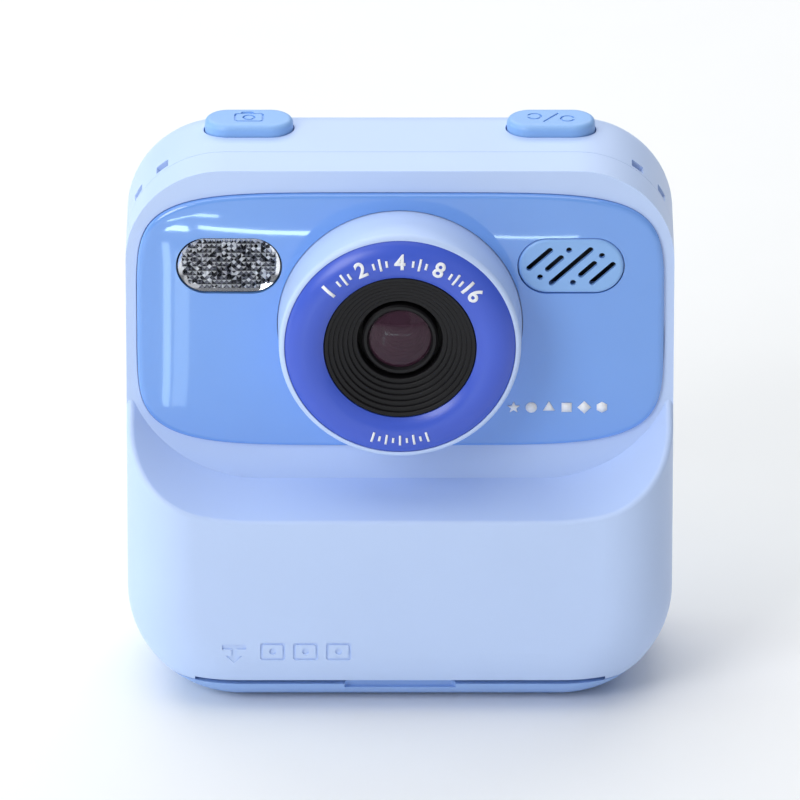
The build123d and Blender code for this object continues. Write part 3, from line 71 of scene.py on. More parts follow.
def material(name, color, roughness, metallic=0.0, shade=0.04, grain=0.0, grain_size=0.3 * MM, **sockets):
    """Moulded or metal surface: slow colour drift, uneven gloss and a fine grain, all procedural."""
    made = bpy.data.materials.new(name)
    made.use_nodes = True
    tree = made.node_tree
    shader = tree.nodes["Principled BSDF"]
    for socket, value in sockets.items():
        shader.inputs[socket.replace("_", " ")].default_value = value
    shader.inputs["Metallic"].default_value = metallic
    place = tree.nodes.new("ShaderNodeTexCoord")
    drift = tree.nodes.new("ShaderNodeTexNoise")
    drift.inputs["Scale"].default_value = DRIFT_SCALE
    drift.inputs["Detail"].default_value = 3.0
    tree.links.new(place.outputs["Object"], drift.inputs["Vector"])
    ramp = tree.nodes.new("ShaderNodeValToRGB")
    ramp.color_ramp.elements[0].position = 0.3
    ramp.color_ramp.elements[1].position = 0.7
    ramp.color_ramp.elements[0].color = [c * (1 - shade) for c in color] + [1]
    ramp.color_ramp.elements[1].color = [min(1.0, c * (1 + shade)) for c in color] + [1]
    tree.links.new(drift.outputs["Fac"], ramp.inputs["Fac"])
    tree.links.new(ramp.outputs["Color"], shader.inputs["Base Color"])
    gloss = tree.nodes.new("ShaderNodeMapRange")
    gloss.inputs["To Min"].default_value = max(0.0, roughness - GLOSS_DRIFT)
    gloss.inputs["To Max"].default_value = min(1.0, roughness + GLOSS_DRIFT)
    tree.links.new(drift.outputs["Fac"], gloss.inputs["Value"])
    tree.links.new(gloss.outputs["Result"], shader.inputs["Roughness"])
    if grain:
        fine = tree.nodes.new("ShaderNodeTexNoise")
        fine.inputs["Scale"].default_value = 1.0 / grain_size
        fine.inputs["Detail"].default_value = 4.0
        tree.links.new(place.outputs["Object"], fine.inputs["Vector"])
        bump = tree.nodes.new("ShaderNodeBump")
        bump.inputs["Strength"].default_value = grain
        bump.inputs["Distance"].default_value = GRAIN_DEPTH
        tree.links.new(fine.outputs["Fac"], bump.inputs["Height"])
        tree.links.new(bump.outputs["Normal"], shader.inputs["Normal"])
    return made


SHELL_BLUE = (0.545, 0.685, 0.98)
PANEL_BLUE = (0.17, 0.37, 0.86)
ACCENT_BLUE = (0.27, 0.49, 0.88)
shell_plastic = material("shell_plastic", SHELL_BLUE, 0.42, shade=0.012, grain=0.25, Specular_IOR_Level=0.4)
panel_plastic = material("panel_plastic", PANEL_BLUE, 0.05, shade=0.02, Coat_Weight=0.8, Coat_Roughness=0.01)
accent_plastic = material("accent_plastic", ACCENT_BLUE, 0.4, shade=0.015, grain=0.25)
door_plastic = material("door_plastic", (0.33, 0.52, 0.92), 0.42, shade=0.015, grain=0.25)
bezel_plastic = material("bezel_plastic", (0.052, 0.11, 0.62), 0.3, shade=0.02, grain=0.08)
black_plastic = material(
    "black_plastic", (0.0075, 0.007, 0.0085), 0.42, shade=0.1, grain=0.2, Specular_IOR_Level=0.25
)
soft_black = material("soft_black", (0.01, 0.01, 0.011), 0.6, shade=0.1, grain=0.3)
screen_glass = material("screen_glass", (0.035, 0.045, 0.075), 0.04, shade=0.25, Coat_Weight=0.6)
window_acrylic = material("window_acrylic", (0.012, 0.013, 0.016), 0.05, shade=0.1, Coat_Weight=0.5)
board_green = material("board_green", (0.02, 0.13, 0.06), 0.35, shade=0.2, grain=0.3)
chip_black = material("chip_black", (0.02, 0.02, 0.022), 0.5, shade=0.1, grain=0.4)
steel = material("steel", (0.56, 0.57, 0.6), 0.3, 1.0, shade=0.06, grain=0.2)
aluminium = material("aluminium", (0.7, 0.71, 0.73), 0.35, 1.0, shade=0.05, grain=0.3)
chrome = material("chrome", (0.8, 0.81, 0.84), 0.08, 1.0, shade=0.04)
brass = material("brass", (0.72, 0.52, 0.2), 0.3, 1.0, shade=0.06, grain=0.2)
foil_wrap = material("foil_wrap", (0.4, 0.42, 0.48), 0.3, shade=0.05, grain=0.4, grain_size=1.5 * MM)
frame_plastic = material("frame_plastic", (0.05, 0.05, 0.055), 0.5, shade=0.1, grain=0.4)
ceramic = material("ceramic", (0.78, 0.75, 0.7), 0.3, shade=0.04, grain=0.1)
rubber_black = material("rubber_black", (0.022, 0.022, 0.022), 0.75, shade=0.15, grain=0.6)
rubber_blue = material("rubber_blue", (0.36, 0.54, 0.93), 0.6, shade=0.02, grain=0.4)
acetal = material("acetal", (0.82, 0.82, 0.79), 0.4, shade=0.02, grain=0.2)
paper = material("paper", (0.88, 0.88, 0.86), 0.85, shade=0.02, grain=0.6)
card = material("card", (0.5, 0.38, 0.25), 0.85, shade=0.08, grain=0.8)
ink_white = material("ink_white", (0.9, 0.92, 0.96), 0.3, shade=0.02, grain=0.05)
# Lit and shaded copies of the prisms' colour: the light one is a painted highlight for facets that face up,
# the dark one a painted shade for facets that face down, and prism_mid is the middle tone for the sides and
# the plate behind.
prism_painted_highlight = material("prism_painted_highlight", (0.86, 0.88, 0.93), 0.15, 0.3, shade=0.1)
prism_mid = material("prism_mid", (0.2, 0.21, 0.25), 0.15, 0.4, shade=0.3)
prism_painted_shade = material("prism_painted_shade", (0.02, 0.022, 0.03), 0.15, 0.4, shade=0.4)
clear_cover = material(
    "clear_cover", (0.98, 0.985, 1.0), 0.02, shade=0.004, Transmission_Weight=1.0, IOR=1.12
)
coated_glass = material(
    "coated_glass", (0.050, 0.020, 0.037), 0.05, shade=0.1, Alpha=0.72, Specular_IOR_Level=0.35
)
inner_glass = material(
    "inner_glass", (0.10, 0.05, 0.08), 0.12, shade=0.2, Coat_Weight=1.0, Coat_Roughness=0.05
)
dark_metal = material("dark_metal", (0.26, 0.23, 0.26), 0.35, 0.6, shade=0.1, grain=0.1)

# Nodes that a visual piece replaces aren't in here.
NODE_MATERIALS = {
    "front_shell": shell_plastic,
    "rear_shell": shell_plastic,
    "lens_barrel": shell_plastic,
    "paper_door": door_plastic,
    "lens_bezel": bezel_plastic,
    "lens_retainer": black_plastic,
    "speaker_grille": accent_plastic,
    "case_screws": steel,
    "board_screws": steel,
    "flash_reflector": chrome,
    "flash_board": board_green,
    "speaker": soft_black,
    "sensor_board": board_green,
    "main_board": board_green,
    "board_chips": chip_black,
    "usb_port": steel,
    "card_slot": steel,
    "battery": foil_wrap,
    "display_module": chip_black,
    "key_board": board_green,
    "key_switches": steel,
    "top_button_boards": board_green,
    "top_switches": chip_black,
    "printer_frame": frame_plastic,
    "thermal_head": ceramic,
    "head_heatsink": aluminium,
    "head_springs": steel,
    "cutter_blade": steel,
    "feed_motor": steel,
    "idler_axle": steel,
    "hinge_pin": steel,
    "shutter_button": accent_plastic,
    "mode_button": accent_plastic,
    "up_key": accent_plastic,
    "down_key": accent_plastic,
    "left_key": accent_plastic,
    "right_key": accent_plastic,
    "ok_key": accent_plastic,
    "play_key": accent_plastic,
    "menu_key": accent_plastic,
    "port_cover": rubber_blue,
    "platen_shaft": steel,
    "platen_rubber": rubber_black,
    "platen_gear": acetal,
    "platen_bearings": acetal,
    "idler_gear": acetal,
    "motor_pinion": brass,
    "paper_roll": paper,
    "roll_core": card,
}
for node_name, node_material in NODE_MATERIALS.items():
    mesh = nodes[node_name].data
    mesh.materials.clear()
    mesh.materials.append(node_material)


# ---- mesh helpers ---------------------------------------------------------------------------------
def mesh_object(name, verts, faces):
    """Object from points and faces, with all its faces turned outward."""
    data = bpy.data.meshes.new(name)
    data.from_pydata(verts, [], faces)
    made = bpy.data.objects.new(name, data)
    bpy.context.scene.collection.objects.link(made)
    work = bmesh.new()
    work.from_mesh(data)
    bmesh.ops.recalc_face_normals(work, faces=work.faces)
    work.to_mesh(data)
    work.free()
    return made


def smooth(made, sharp):
    """Shades a mesh smooth, except at edges sharper than an angle in degrees."""
    data = made.data
    data.polygons.foreach_set("use_smooth", [True] * len(data.polygons))
    data.set_sharp_from_angle(angle=math.radians(sharp))


def piece(name, verts, faces, materials, sharp=35.0, thickness=0.0):
    """Visual piece that rides on the case. A thickness turns a flat sheet into a closed solid."""
    made = mesh_object(name, verts, faces)
    for used in materials:
        made.data.materials.append(used)
    smooth(made, sharp)
    if thickness:
        solid = made.modifiers.new("thickness", "SOLIDIFY")
        solid.thickness = thickness
        solid.offset = 0.0
    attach(made, "case")
    return made


def ring_faces(rings, count, first=0):
    """Faces between each ring of points and the next."""
    faces = []
    for i in range(rings - 1):
        for j in range(count):
            a = first + i * count + j
            b = first + i * count + (j + 1) % count
            faces.append((a, b, b + count, a + count))
    return faces


def loop_faces(rings, count):
    """Ring faces, with the last ring joined to the first."""
    last = (rings - 1) * count
    faces = ring_faces(rings, count)
    for j in range(count):
        k = (j + 1) % count
        faces.append((last + j, last + k, k, j))
    return faces


def lathe(name, profile, materials, count=128, sharp=35.0):
    """Solid ring from a closed profile of (radius, y) points, turned about the lens axis."""
    verts = []
    for radius, y in profile:
        for j in range(count):
            a = 2 * math.pi * j / count
            verts.append((radius * math.cos(a), y, LENS_Z + radius * math.sin(a)))
    return piece(name, verts, loop_faces(len(profile), count), materials, sharp=sharp)


def quarter_round(radius, steps=6):
    """(inset, set-back) pairs round an edge, from its side to its face."""
    pairs = []
    for i in range(steps + 1):
        a = math.pi / 2 * i / steps
        pairs.append((radius * (1 - math.cos(a)), radius * (1 - math.sin(a))))
    return pairs


def at_depth(outline, centre, y):
    """An (x, z) outline about a centre, laid in the plane at y."""
    return [(centre.x + x, y, centre.z + z) for x, z in outline]


def bake(made):
    """Leaves the piece's modifiers applied to its mesh."""
    bpy.context.view_layer.update()
    graph = bpy.context.evaluated_depsgraph_get()
    data = bpy.data.meshes.new_from_object(made.evaluated_get(graph))
    made.modifiers.clear()
    made.data = data


# ---- stadiums: the outline of the flash and of the grille ------------------------------------------
def stadium_size(low, high, grow=0.0):
    """Radius of a stadium that fills a box, and how far its half circles are from the middle."""
    radius = (high.z - low.z) / 2
    return radius + grow, (high.x - low.x) / 2 - radius


def stadium_points(radius, half, count):
    """Outline of a stadium lying along X: two half circles half away from the middle."""
    points = []
    for j in range(count):
        a = 2 * math.pi * j / count - math.pi / 2
        side = 1 if j < count / 2 else -1
        points.append((radius * math.cos(a) + side * half, radius * math.sin(a)))
    return points


def stadium_prism(name, centre, radius, half):
    """Cutter that runs through the panel along Y."""
    count = 160
    reach = 50 * MM
    outline = stadium_points(radius, half, count)
    verts = at_depth(outline, centre, -reach) + at_depth(outline, centre, reach)
    faces = ring_faces(2, count)
    faces += [tuple(range(count)), tuple(range(count, 2 * count))]
    return mesh_object(name, verts, faces)


# ---- front panel: crowned, glossy ------------------------------------------------------------------
PANEL_POWER = 5.2
PANEL_EDGE = 0.7 * MM
PANEL_CROWN = 0.5 * MM
PANEL_FIT = 0.13 * MM  # around what drops into the panel
PANEL_SWELL = 3.2  # the higher it is, the flatter the panel's middle and the rounder its border
PANEL_CENTRE = (panel_low + panel_high) / 2
PANEL_HALF = (panel_high - panel_low) / 2


def panel_outline(angle, scale):
    """A point of the superellipse round the panel, about its centre."""
    c = math.cos(angle)
    s = math.sin(angle)
    x = math.copysign(abs(c) ** (2 / PANEL_POWER), c) * PANEL_HALF.x * scale
    z = math.copysign(abs(s) ** (2 / PANEL_POWER), s) * PANEL_HALF.z * scale
    return x, z


def crown_y(reach):
    """How far forward the panel's face is, at a fraction of the way from its centre to its edge."""
    return panel_low.y - PANEL_CROWN * (1 - reach ** PANEL_SWELL)


def panel_y(x, z):
    """The panel's face at a point, from the superellipse that passes through it."""
    u = abs(x - PANEL_CENTRE.x) / PANEL_HALF.x
    v = abs(z - PANEL_CENTRE.z) / PANEL_HALF.z
    return crown_y((u ** PANEL_POWER + v ** PANEL_POWER) ** (1 / PANEL_POWER))


def make_panel():
    """The panel: a rounded edge, then rings that follow the crown in to the centre."""
    count = 192
    rings = 24
    levels = [(1.0, panel_high.y)]
    for inset, back in quarter_round(PANEL_EDGE):
        levels.append((1 - inset / PANEL_HALF.z, panel_low.y + back))
    edge = levels[-1][0]
    for i in range(1, rings):
        reach = edge * (1 - i / rings)
        levels.append((reach, crown_y(reach) - crown_y(edge) + panel_low.y))
    verts = []
    for scale, y in levels:
        outline = [panel_outline(2 * math.pi * j / count, scale) for j in range(count)]
        verts += at_depth(outline, PANEL_CENTRE, y)
    faces = ring_faces(len(levels), count)
    faces.append(tuple(range(count)))
    verts.append((PANEL_CENTRE.x, crown_y(0), PANEL_CENTRE.z))
    last = (len(levels) - 1) * count
    faces += [(last + j, last + (j + 1) % count, len(verts) - 1) for j in range(count)]
    made = piece("panel_face", verts, faces, [panel_plastic])
    cut_panel(made)
    smooth(made, 32.0)
    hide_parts("front_panel")


def cut_panel(made):
    """Holes for the lens barrel, the flash and the grille."""
    cutters = [stadium_prism("cut_lens", Vector((0, 0, LENS_Z)), BARREL_R + PANEL_FIT, 0.0)]
    for name, low, high in (("cut_flash", flash_low, flash_high), ("cut_grille", grille_low, grille_high)):
        cutters.append(stadium_prism(name, (low + high) / 2, *stadium_size(low, high, PANEL_FIT)))
    for cutter in cutters:
        cut = made.modifiers.new(cutter.name, "BOOLEAN")
        cut.operation = "DIFFERENCE"
        cut.solver = "EXACT"
        cut.object = cutter
    bake(made)
    for cutter in cutters:
        bpy.data.objects.remove(cutter)


make_panel()


# ---- flash: clear cover over a field of prisms ------------------------------------------------------
FLASH_CENTRE = (flash_low + flash_high) / 2
FLASH_R, FLASH_HALF = stadium_size(flash_low, flash_high)
FLASH_POINTS = 96
FLASH_WALL = 0.22 * MM
FLASH_INNER_Y = flash_low.y + 0.5 * MM
PRISM_PITCH = 0.86 * MM
PRISM_HEIGHT = 0.45 * MM
PRISM_PEAK_UP = 0.2 * PRISM_PITCH  # the points sit high in their cells, so that the upper facets, painted light, are small
PRISM_GAP = 0.12 * MM  # between the cover and the points
PRISM_BASE_Y = FLASH_INNER_Y + PRISM_GAP + PRISM_HEIGHT
USUAL_SHARE = 0.55  # of the facets that keep the painted tone of the way they face


def flash_ring(inset, y):
    """The flash's outline, drawn in by an inset."""
    return at_depth(stadium_points(FLASH_R - inset, FLASH_HALF, FLASH_POINTS), FLASH_CENTRE, y)


def make_flash_cover():
    """Clear cap with a rounded edge, open at the back."""
    edge = 0.9 * MM
    count = FLASH_POINTS
    levels = [(0.0, flash_high.y)]
    levels += [(inset, flash_low.y + back) for inset, back in quarter_round(edge)]
    levels.append((edge * 1.5, flash_low.y))
    verts = []
    for inset, y in levels:
        verts += flash_ring(inset, y)
    faces = ring_faces(len(levels), count)
    top = (len(levels) - 1) * count
    faces.append(tuple(range(top, top + count)))
    start = len(verts)
    verts += flash_ring(FLASH_WALL, FLASH_INNER_Y) + flash_ring(FLASH_WALL, flash_high.y)
    faces.append(tuple(range(start, start + count)))
    faces += ring_faces(2, count, start)
    for j in range(count):
        k = (j + 1) % count
        faces.append((j, k, start + count + k, start + count + j))
    cover = piece("flash_cover", verts, faces, [clear_cover])
    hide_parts("flash_lens")


def make_flash_prisms():
    """Field of small pyramids in painted light and shade. Most facets take the painted tone of the way they
    face, a painted highlight above and a painted shade below; the others take one at random, as painted
    glints.
    """
    tones = [prism_painted_highlight, prism_mid, prism_painted_shade]
    side_painted_shades = (2, 1, 0, 1)  # painted tone by the way a facet faces, in the order of the corners: below (painted shade), right, above (painted highlight), left
    dice = random.Random(7)
    verts, faces, kinds = [], [], []
    columns = int((FLASH_R + FLASH_HALF) / PRISM_PITCH) + 1
    rows = int(FLASH_R / PRISM_PITCH) + 1
    for row in range(-rows, rows + 1):
        for column in range(-columns, columns + 1):
            x = column * PRISM_PITCH
            z = row * PRISM_PITCH
            beyond = max(0.0, abs(x) - FLASH_HALF)
            if math.hypot(beyond, z) > FLASH_R - FLASH_WALL - 0.5 * PRISM_PITCH:
                continue
            first = len(verts)
            corners = [(x + dx * PRISM_PITCH / 2, z + dz * PRISM_PITCH / 2) for dx, dz in SQUARE]
            verts += at_depth(corners, FLASH_CENTRE, PRISM_BASE_Y)
            verts += at_depth([(x, z + PRISM_PEAK_UP)], FLASH_CENTRE, PRISM_BASE_Y - PRISM_HEIGHT)
            for k in range(4):
                faces.append((first + k, first + (k + 1) % 4, first + 4))
                # The random facets are painted glints and painted shade, two shaded to one lit.
                kinds.append(side_painted_shades[k] if dice.random() < USUAL_SHARE else dice.choice((0, 2, 2)))
            faces.append((first + 3, first + 2, first + 1, first))
            kinds.append(1)
    prisms = piece("flash_prisms", verts, faces, tones, sharp=5.0)
    prisms.data.polygons.foreach_set("material_index", kinds)


def make_flash_mirror():
    """Chrome rim that slopes in to the prisms, and the plate behind them."""
    rim_w = 0.9 * MM
    back_y = PRISM_BASE_Y + 0.1 * MM
    verts = flash_ring(FLASH_WALL, FLASH_INNER_Y + 0.2 * MM)
    verts += flash_ring(FLASH_WALL + rim_w, back_y)
    verts += flash_ring(FLASH_WALL, back_y)
    piece("flash_rim", verts, loop_faces(3, FLASH_POINTS), [chrome])
    plate = flash_ring(FLASH_WALL, back_y + 0.1 * MM)
    face = tuple(range(FLASH_POINTS))
    piece("flash_back", plate, [face], [prism_mid], thickness=0.1 * MM)


make_flash_cover()
make_flash_prisms()
make_flash_mirror()


# ---- stepped black cone inside the bezel --------------------------------------------------------------
BAFFLE_STEPS = 7
BAFFLE_INNER_R = BAFFLE_R - 5.9 * MM
BAFFLE_DEPTH = 3.75 * MM
BAFFLE_CHAMFER = 0.15 * MM
STEP_LIP = 0.06 * MM
GROOVE_NEAR = 0.05 * MM
GROOVE_FAR = 0.16 * MM


def make_baffle():
    """Stepped black cone with a fine groove cut in each step."""
    front = baffle_low.y
    profile = [
        (BAFFLE_R, baffle_high.y),
        (BAFFLE_R, front + BAFFLE_CHAMFER),
        (BAFFLE_R - BAFFLE_CHAMFER, front),
    ]
    for i in range(BAFFLE_STEPS):
        r0 = BAFFLE_R - (BAFFLE_R - BAFFLE_INNER_R) * i / BAFFLE_STEPS
        r1 = BAFFLE_R - (BAFFLE_R - BAFFLE_INNER_R) * (i + 1) / BAFFLE_STEPS
        y0 = front + BAFFLE_DEPTH * i / BAFFLE_STEPS
        y1 = front + BAFFLE_DEPTH * (i + 1) / BAFFLE_STEPS
        if i:
            profile.append((r0 - STEP_LIP, y0))
        profile.append((r1 + GROOVE_FAR, y0 + GROOVE_NEAR))
        profile.append((r1 + GROOVE_NEAR, y0 + GROOVE_FAR))
        profile.append((r1, y1))
    profile.append((BAFFLE_INNER_R, baffle_high.y))
    made = lathe("baffle_rings", profile, [black_plastic], sharp=25.0)
    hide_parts("lens_baffle")


make_baffle()


# ---- marks printed on the bezel -----------------------------------------------------------------------
BEZEL_INNER_R = BAFFLE_R + 0.1 * MM
INK_RISE = 0.03 * MM
INK_DEPTH = 0.08 * MM
SCALE = ("1", "2", "4", "8", "16")
SCALE_R = 16.6 * MM
NUMBER_SIZE = 3.9 * MM
NUMBER_WEIGHT = 0.1 * MM  # added to the outline of the numbers
NUMBER_STEP = 24.0  # degrees between two numbers of the zoom scale
DIVISIONS = 6  # between two numbers, of which the middle three are marked
TICK_WIDTH = 0.42 * MM
SHORT_TICK = 0.6 * MM  # half of its length, as for the others
MIDDLE_TICK = 1.15 * MM
ROW_R = SCALE_R + 0.7 * MM
ROW_STEP = 4.0  # degrees between two ticks of the lower row
ROW_WIDTH = 0.4 * MM
ROW_SHORT = 0.5 * MM
ROW_LONG = 1.0 * MM


def arc_y(radius):
    """The bezel's crowned face, from the circle through its outer edge, crest and inner edge."""
    a = Vector((BEZEL_R, barrel_low.y + 0.15 * MM))
    b = Vector(((BEZEL_R + BEZEL_INNER_R) / 2 + 0.4 * MM, bezel_low.y))
    c = Vector((BEZEL_INNER_R, barrel_low.y - 0.45 * MM))
    aa, bb, cc = a.length_squared, b.length_squared, c.length_squared
    d = 2 * (a.x * (b.y - c.y) + b.x * (c.y - a.y) + c.x * (a.y - b.y))
    ux = (aa * (b.y - c.y) + bb * (c.y - a.y) + cc * (a.y - b.y)) / d
    uy = (aa * (c.x - b.x) + bb * (a.x - c.x) + cc * (b.x - a.x)) / d
    reach = (a - Vector((ux, uy))).length
    return uy - math.sqrt(max(0.0, reach ** 2 - (radius - ux) ** 2))


def ring_mark(verts, faces, middle_r, reach, angle, width):
    """Adds one bar printed along the bezel, its angle clockwise from straight up."""
    steps = 5
    first = len(verts)
    a = math.radians(angle)
    for i in range(steps + 1):
        radius = middle_r - reach + 2 * reach * i / steps
        y = arc_y(radius) - INK_RISE
        for side in (-1, 1):
            x = radius * math.sin(a) + side * width / 2 * math.cos(a)
            z = radius * math.cos(a) - side * width / 2 * math.sin(a)
            verts.append((x, y, LENS_Z + z))
    for i in range(steps):
        k = first + 2 * i
        faces.append((k, k + 1, k + 3, k + 2))


def make_bezel_marks():
    """The zoom scale over the top of the bezel, and a row of ticks at the bottom."""
    verts, faces = [], []
    for number in range(len(SCALE) - 1):
        for tick in range(2, DIVISIONS - 1):
            reach = MIDDLE_TICK if tick == DIVISIONS // 2 else SHORT_TICK
            angle = (number - len(SCALE) // 2 + tick / DIVISIONS) * NUMBER_STEP
            ring_mark(verts, faces, SCALE_R, reach, angle, TICK_WIDTH)
    for i in range(-4, 5):
        reach = ROW_LONG if i % 2 == 0 else ROW_SHORT
        ring_mark(verts, faces, ROW_R, reach, 180 + i * ROW_STEP, ROW_WIDTH)
    piece("bezel_ticks", verts, faces, [ink_white], thickness=INK_DEPTH)
    for index, digit in enumerate(SCALE):
        scale_number(digit, (index - len(SCALE) // 2) * NUMBER_STEP)


def flat_text(body):
    """Points and faces of a number laid flat, in small faces that can follow a curve."""
    text = bpy.data.curves.new("scale_" + body, "FONT")
    text.body = body
    text.size = NUMBER_SIZE
    text.align_x = "CENTER"
    text.align_y = "CENTER"
    text.offset = NUMBER_WEIGHT
    holder = bpy.data.objects.new("scale_text_" + body, text)
    bpy.context.scene.collection.objects.link(holder)
    bpy.context.view_layer.update()
    data = bpy.data.meshes.new_from_object(holder.evaluated_get(bpy.context.evaluated_depsgraph_get()))
    bpy.data.objects.remove(holder)
    work = bmesh.new()
    work.from_mesh(data)
    bmesh.ops.triangulate(work, faces=work.faces)
    bmesh.ops.subdivide_edges(work, edges=work.edges, cuts=2, use_grid_fill=True)
    verts = [v.co.copy() for v in work.verts]
    faces = [tuple(v.index for v in f.verts) for f in work.faces]
    work.free()
    return verts, faces


def scale_number(digit, angle):
    """A number of the zoom scale, laid on the bezel's crowned face."""
    flat, faces = flat_text(digit)
    a = math.radians(angle)
    verts = []
    for co in flat:
        x = co.x * math.cos(a) + (co.y + SCALE_R) * math.sin(a)
        z = -co.x * math.sin(a) + (co.y + SCALE_R) * math.cos(a)
        verts.append((x, arc_y(math.hypot(x, z)) - INK_RISE, LENS_Z + z))
    piece("scale_number_" + digit, verts, faces, [ink_white], thickness=INK_DEPTH)


make_bezel_marks()


# ---- optics inside the retainer ------------------------------------------------------------------------
AXIS_R = 0.01 * MM  # a lathed piece is a ring, with a hole on the axis too fine to see
MODULE_FRONT_Y = glass_high.y + 0.1 * MM
BORE_FLOOR_Y = glass_high.y + 7.0 * MM
THROAT_R = 1.9 * MM
PUPIL_Y = BORE_FLOOR_Y - 0.9 * MM


def dome_profile(radius, front_y, rim_y, steps=14):
    """Points of a spherical cap from its rim to its apex."""
    rise = rim_y - front_y
    sphere_r = (radius ** 2 + rise ** 2) / (2 * rise)
    points = []
    for i in range(steps + 1):
        r = max(radius * (1 - i / steps), AXIS_R)
        points.append((r, front_y + sphere_r - math.sqrt(sphere_r ** 2 - r ** 2)))
    return points


def make_cover_glass():
    """Thin coated shell of glass that bulges forward."""
    front = glass_low.y
    back = front + 0.35 * MM
    bulge = 1.05 * MM
    outside = dome_profile(GLASS_R, front, front + bulge)
    inside = dome_profile(GLASS_R - 0.02 * MM, back, back + bulge)
    cover = lathe("cover_glass", outside + inside[::-1], [coated_glass], count=96)
    cover.visible_shadow = False
    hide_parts("lens_cover_glass")


def make_module_body():
    """The camera module: a flange and a stem, with a deep bore that narrows in steps."""
    module_r = (module_high.x - module_low.x) / 2
    stem_r = 8.0 * MM
    flange_r = 12.6 * MM
    flange_y = MODULE_FRONT_Y - 0.05 * MM
    seat_y = MODULE_FRONT_Y + 1.6 * MM
    stem_y = MODULE_FRONT_Y + 3.0 * MM
    bore_r = GLASS_R - 0.5 * MM
    steps = 8
    bore = []
    for i in range(steps):
        r0 = bore_r - (bore_r - THROAT_R) * i / steps
        r1 = bore_r - (bore_r - THROAT_R) * (i + 1) / steps
        y0 = MODULE_FRONT_Y + (BORE_FLOOR_Y - MODULE_FRONT_Y) * (i / steps) ** 0.8
        bore += [(r0, y0), (r1 + 0.08 * MM, y0 + 0.03 * MM), (r1, y0 + 0.12 * MM)]
    outside = [
        (AXIS_R, BORE_FLOOR_Y),
        (AXIS_R, module_high.y),
        (stem_r, module_high.y),
        (stem_r, stem_y),
        (module_r, stem_y),
        (module_r, flange_y),
        (flange_r, flange_y),
        (flange_r, seat_y),
        (GLASS_R, seat_y),
        (GLASS_R, MODULE_FRONT_Y),
    ]
    profile = outside + bore + [(THROAT_R, BORE_FLOOR_Y)]
    body = lathe("module_body", profile, [soft_black], sharp=20.0)
    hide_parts("camera_module")


def make_rear_element():
    """Convex lens at the bottom of the bore: a spherical front, a short rim and a flat back."""
    radius = THROAT_R - 0.02 * MM
    back_y = BORE_FLOOR_Y - 0.05 * MM
    front = dome_profile(radius, PUPIL_Y, BORE_FLOOR_Y - 0.3 * MM)
    profile = [(radius, back_y)] + front + [(AXIS_R, back_y)]
    lathe("rear_element", profile, [inner_glass], count=96)


def make_aperture_ring():
    """Metal ring round the throat, with a ridge along its front."""
    width = 0.7 * MM
    front_y = PUPIL_Y - 0.5 * MM
    back_y = PUPIL_Y - 0.2 * MM
    ridge_y = PUPIL_Y - 0.62 * MM
    profile = [
        (THROAT_R, front_y),
        (THROAT_R + width / 2, ridge_y),
        (THROAT_R + width, front_y),
        (THROAT_R + width, back_y),
        (THROAT_R, back_y),
    ]
    lathe("aperture_ring", profile, [dark_metal], count=96)


make_cover_glass()
make_module_body()
make_rear_element()
make_aperture_ring()


# ---- printed shapes on the panel ----------------------------------------------------------------------
def flat_shape(name, outline, cx, cz):
    """A small printed shape on the panel's crowned face."""
    verts = [(cx, panel_y(cx, cz) - INK_RISE, cz)]
    for x, z in outline:
        verts.append((cx + x, panel_y(cx + x, cz + z) - INK_RISE, cz + z))
    count = len(outline)
    faces = [(0, 1 + j, 1 + (j + 1) % count) for j in range(count)]
    piece(name, verts, faces, [ink_white], thickness=INK_DEPTH)


def regular(sides, radius, turn=90.0, star=1.0):
    """Outline with a point every 360 / sides degrees, and one between each two, at star times the radius.

    A star of cos(180 / sides) puts the points between on straight sides.
    """
    points = []
    for j in range(sides * 2):
        reach = radius if j % 2 == 0 else radius * star
        a = math.radians(turn + 180.0 * j / sides)
        points.append((reach * math.cos(a), reach * math.sin(a)))
    return points


SHAPE_R = 1.0 * MM
SHAPE_PITCH = 3.1 * MM
SHAPES = [
    ("mark_star", regular(5, SHAPE_R * 1.15, 90, 0.45)),
    ("mark_disc", regular(24, SHAPE_R)),
    ("mark_triangle", regular(3, SHAPE_R * 1.2, 90, 0.5)),
    ("mark_square", regular(4, SHAPE_R * 1.25, 45, 0.7071)),
    ("mark_diamond", regular(4, SHAPE_R * 1.2, 90, 0.7071)),
    ("mark_hexagon", regular(6, SHAPE_R * 1.05, 90, 0.866)),
]


def make_panel_marks():
    """The row of six shapes, low on the right of the panel."""
    row_x = 0.60 * PANEL_HALF.x
    row_z = PANEL_CENTRE.z - 0.68 * PANEL_HALF.z
    middle = (len(SHAPES) - 1) / 2
    for index, (name, outline) in enumerate(SHAPES):
        flat_shape(name, outline, row_x + (index - middle) * SHAPE_PITCH, row_z)


make_panel_marks()


# ---- rear display --------------------------------------------------------------------------------------
WINDOW_CENTRE = (window_low + window_high) / 2
WINDOW_CORNER = 3.0 * MM
SCREEN_HALF = Vector((27.0 * MM, 0, 19.8 * MM))
SCREEN_CORNER = 0.8 * MM
SCREEN_RISE = 0.005 * MM
SCREEN_DEPTH = 0.03 * MM


def rounded_outline(half_x, half_z, radius):
    """A rectangle with round corners, about its centre."""
    steps = 8
    points = []
    for corner, (sx, sz) in enumerate(((1, 1), (-1, 1), (-1, -1), (1, -1))):
        cx = sx * (half_x - radius)
        cz = sz * (half_z - radius)
        for i in range(steps + 1):
            a = math.pi / 2 * (corner + i / steps)
            points.append((cx + radius * math.cos(a), cz + radius * math.sin(a)))
    return points


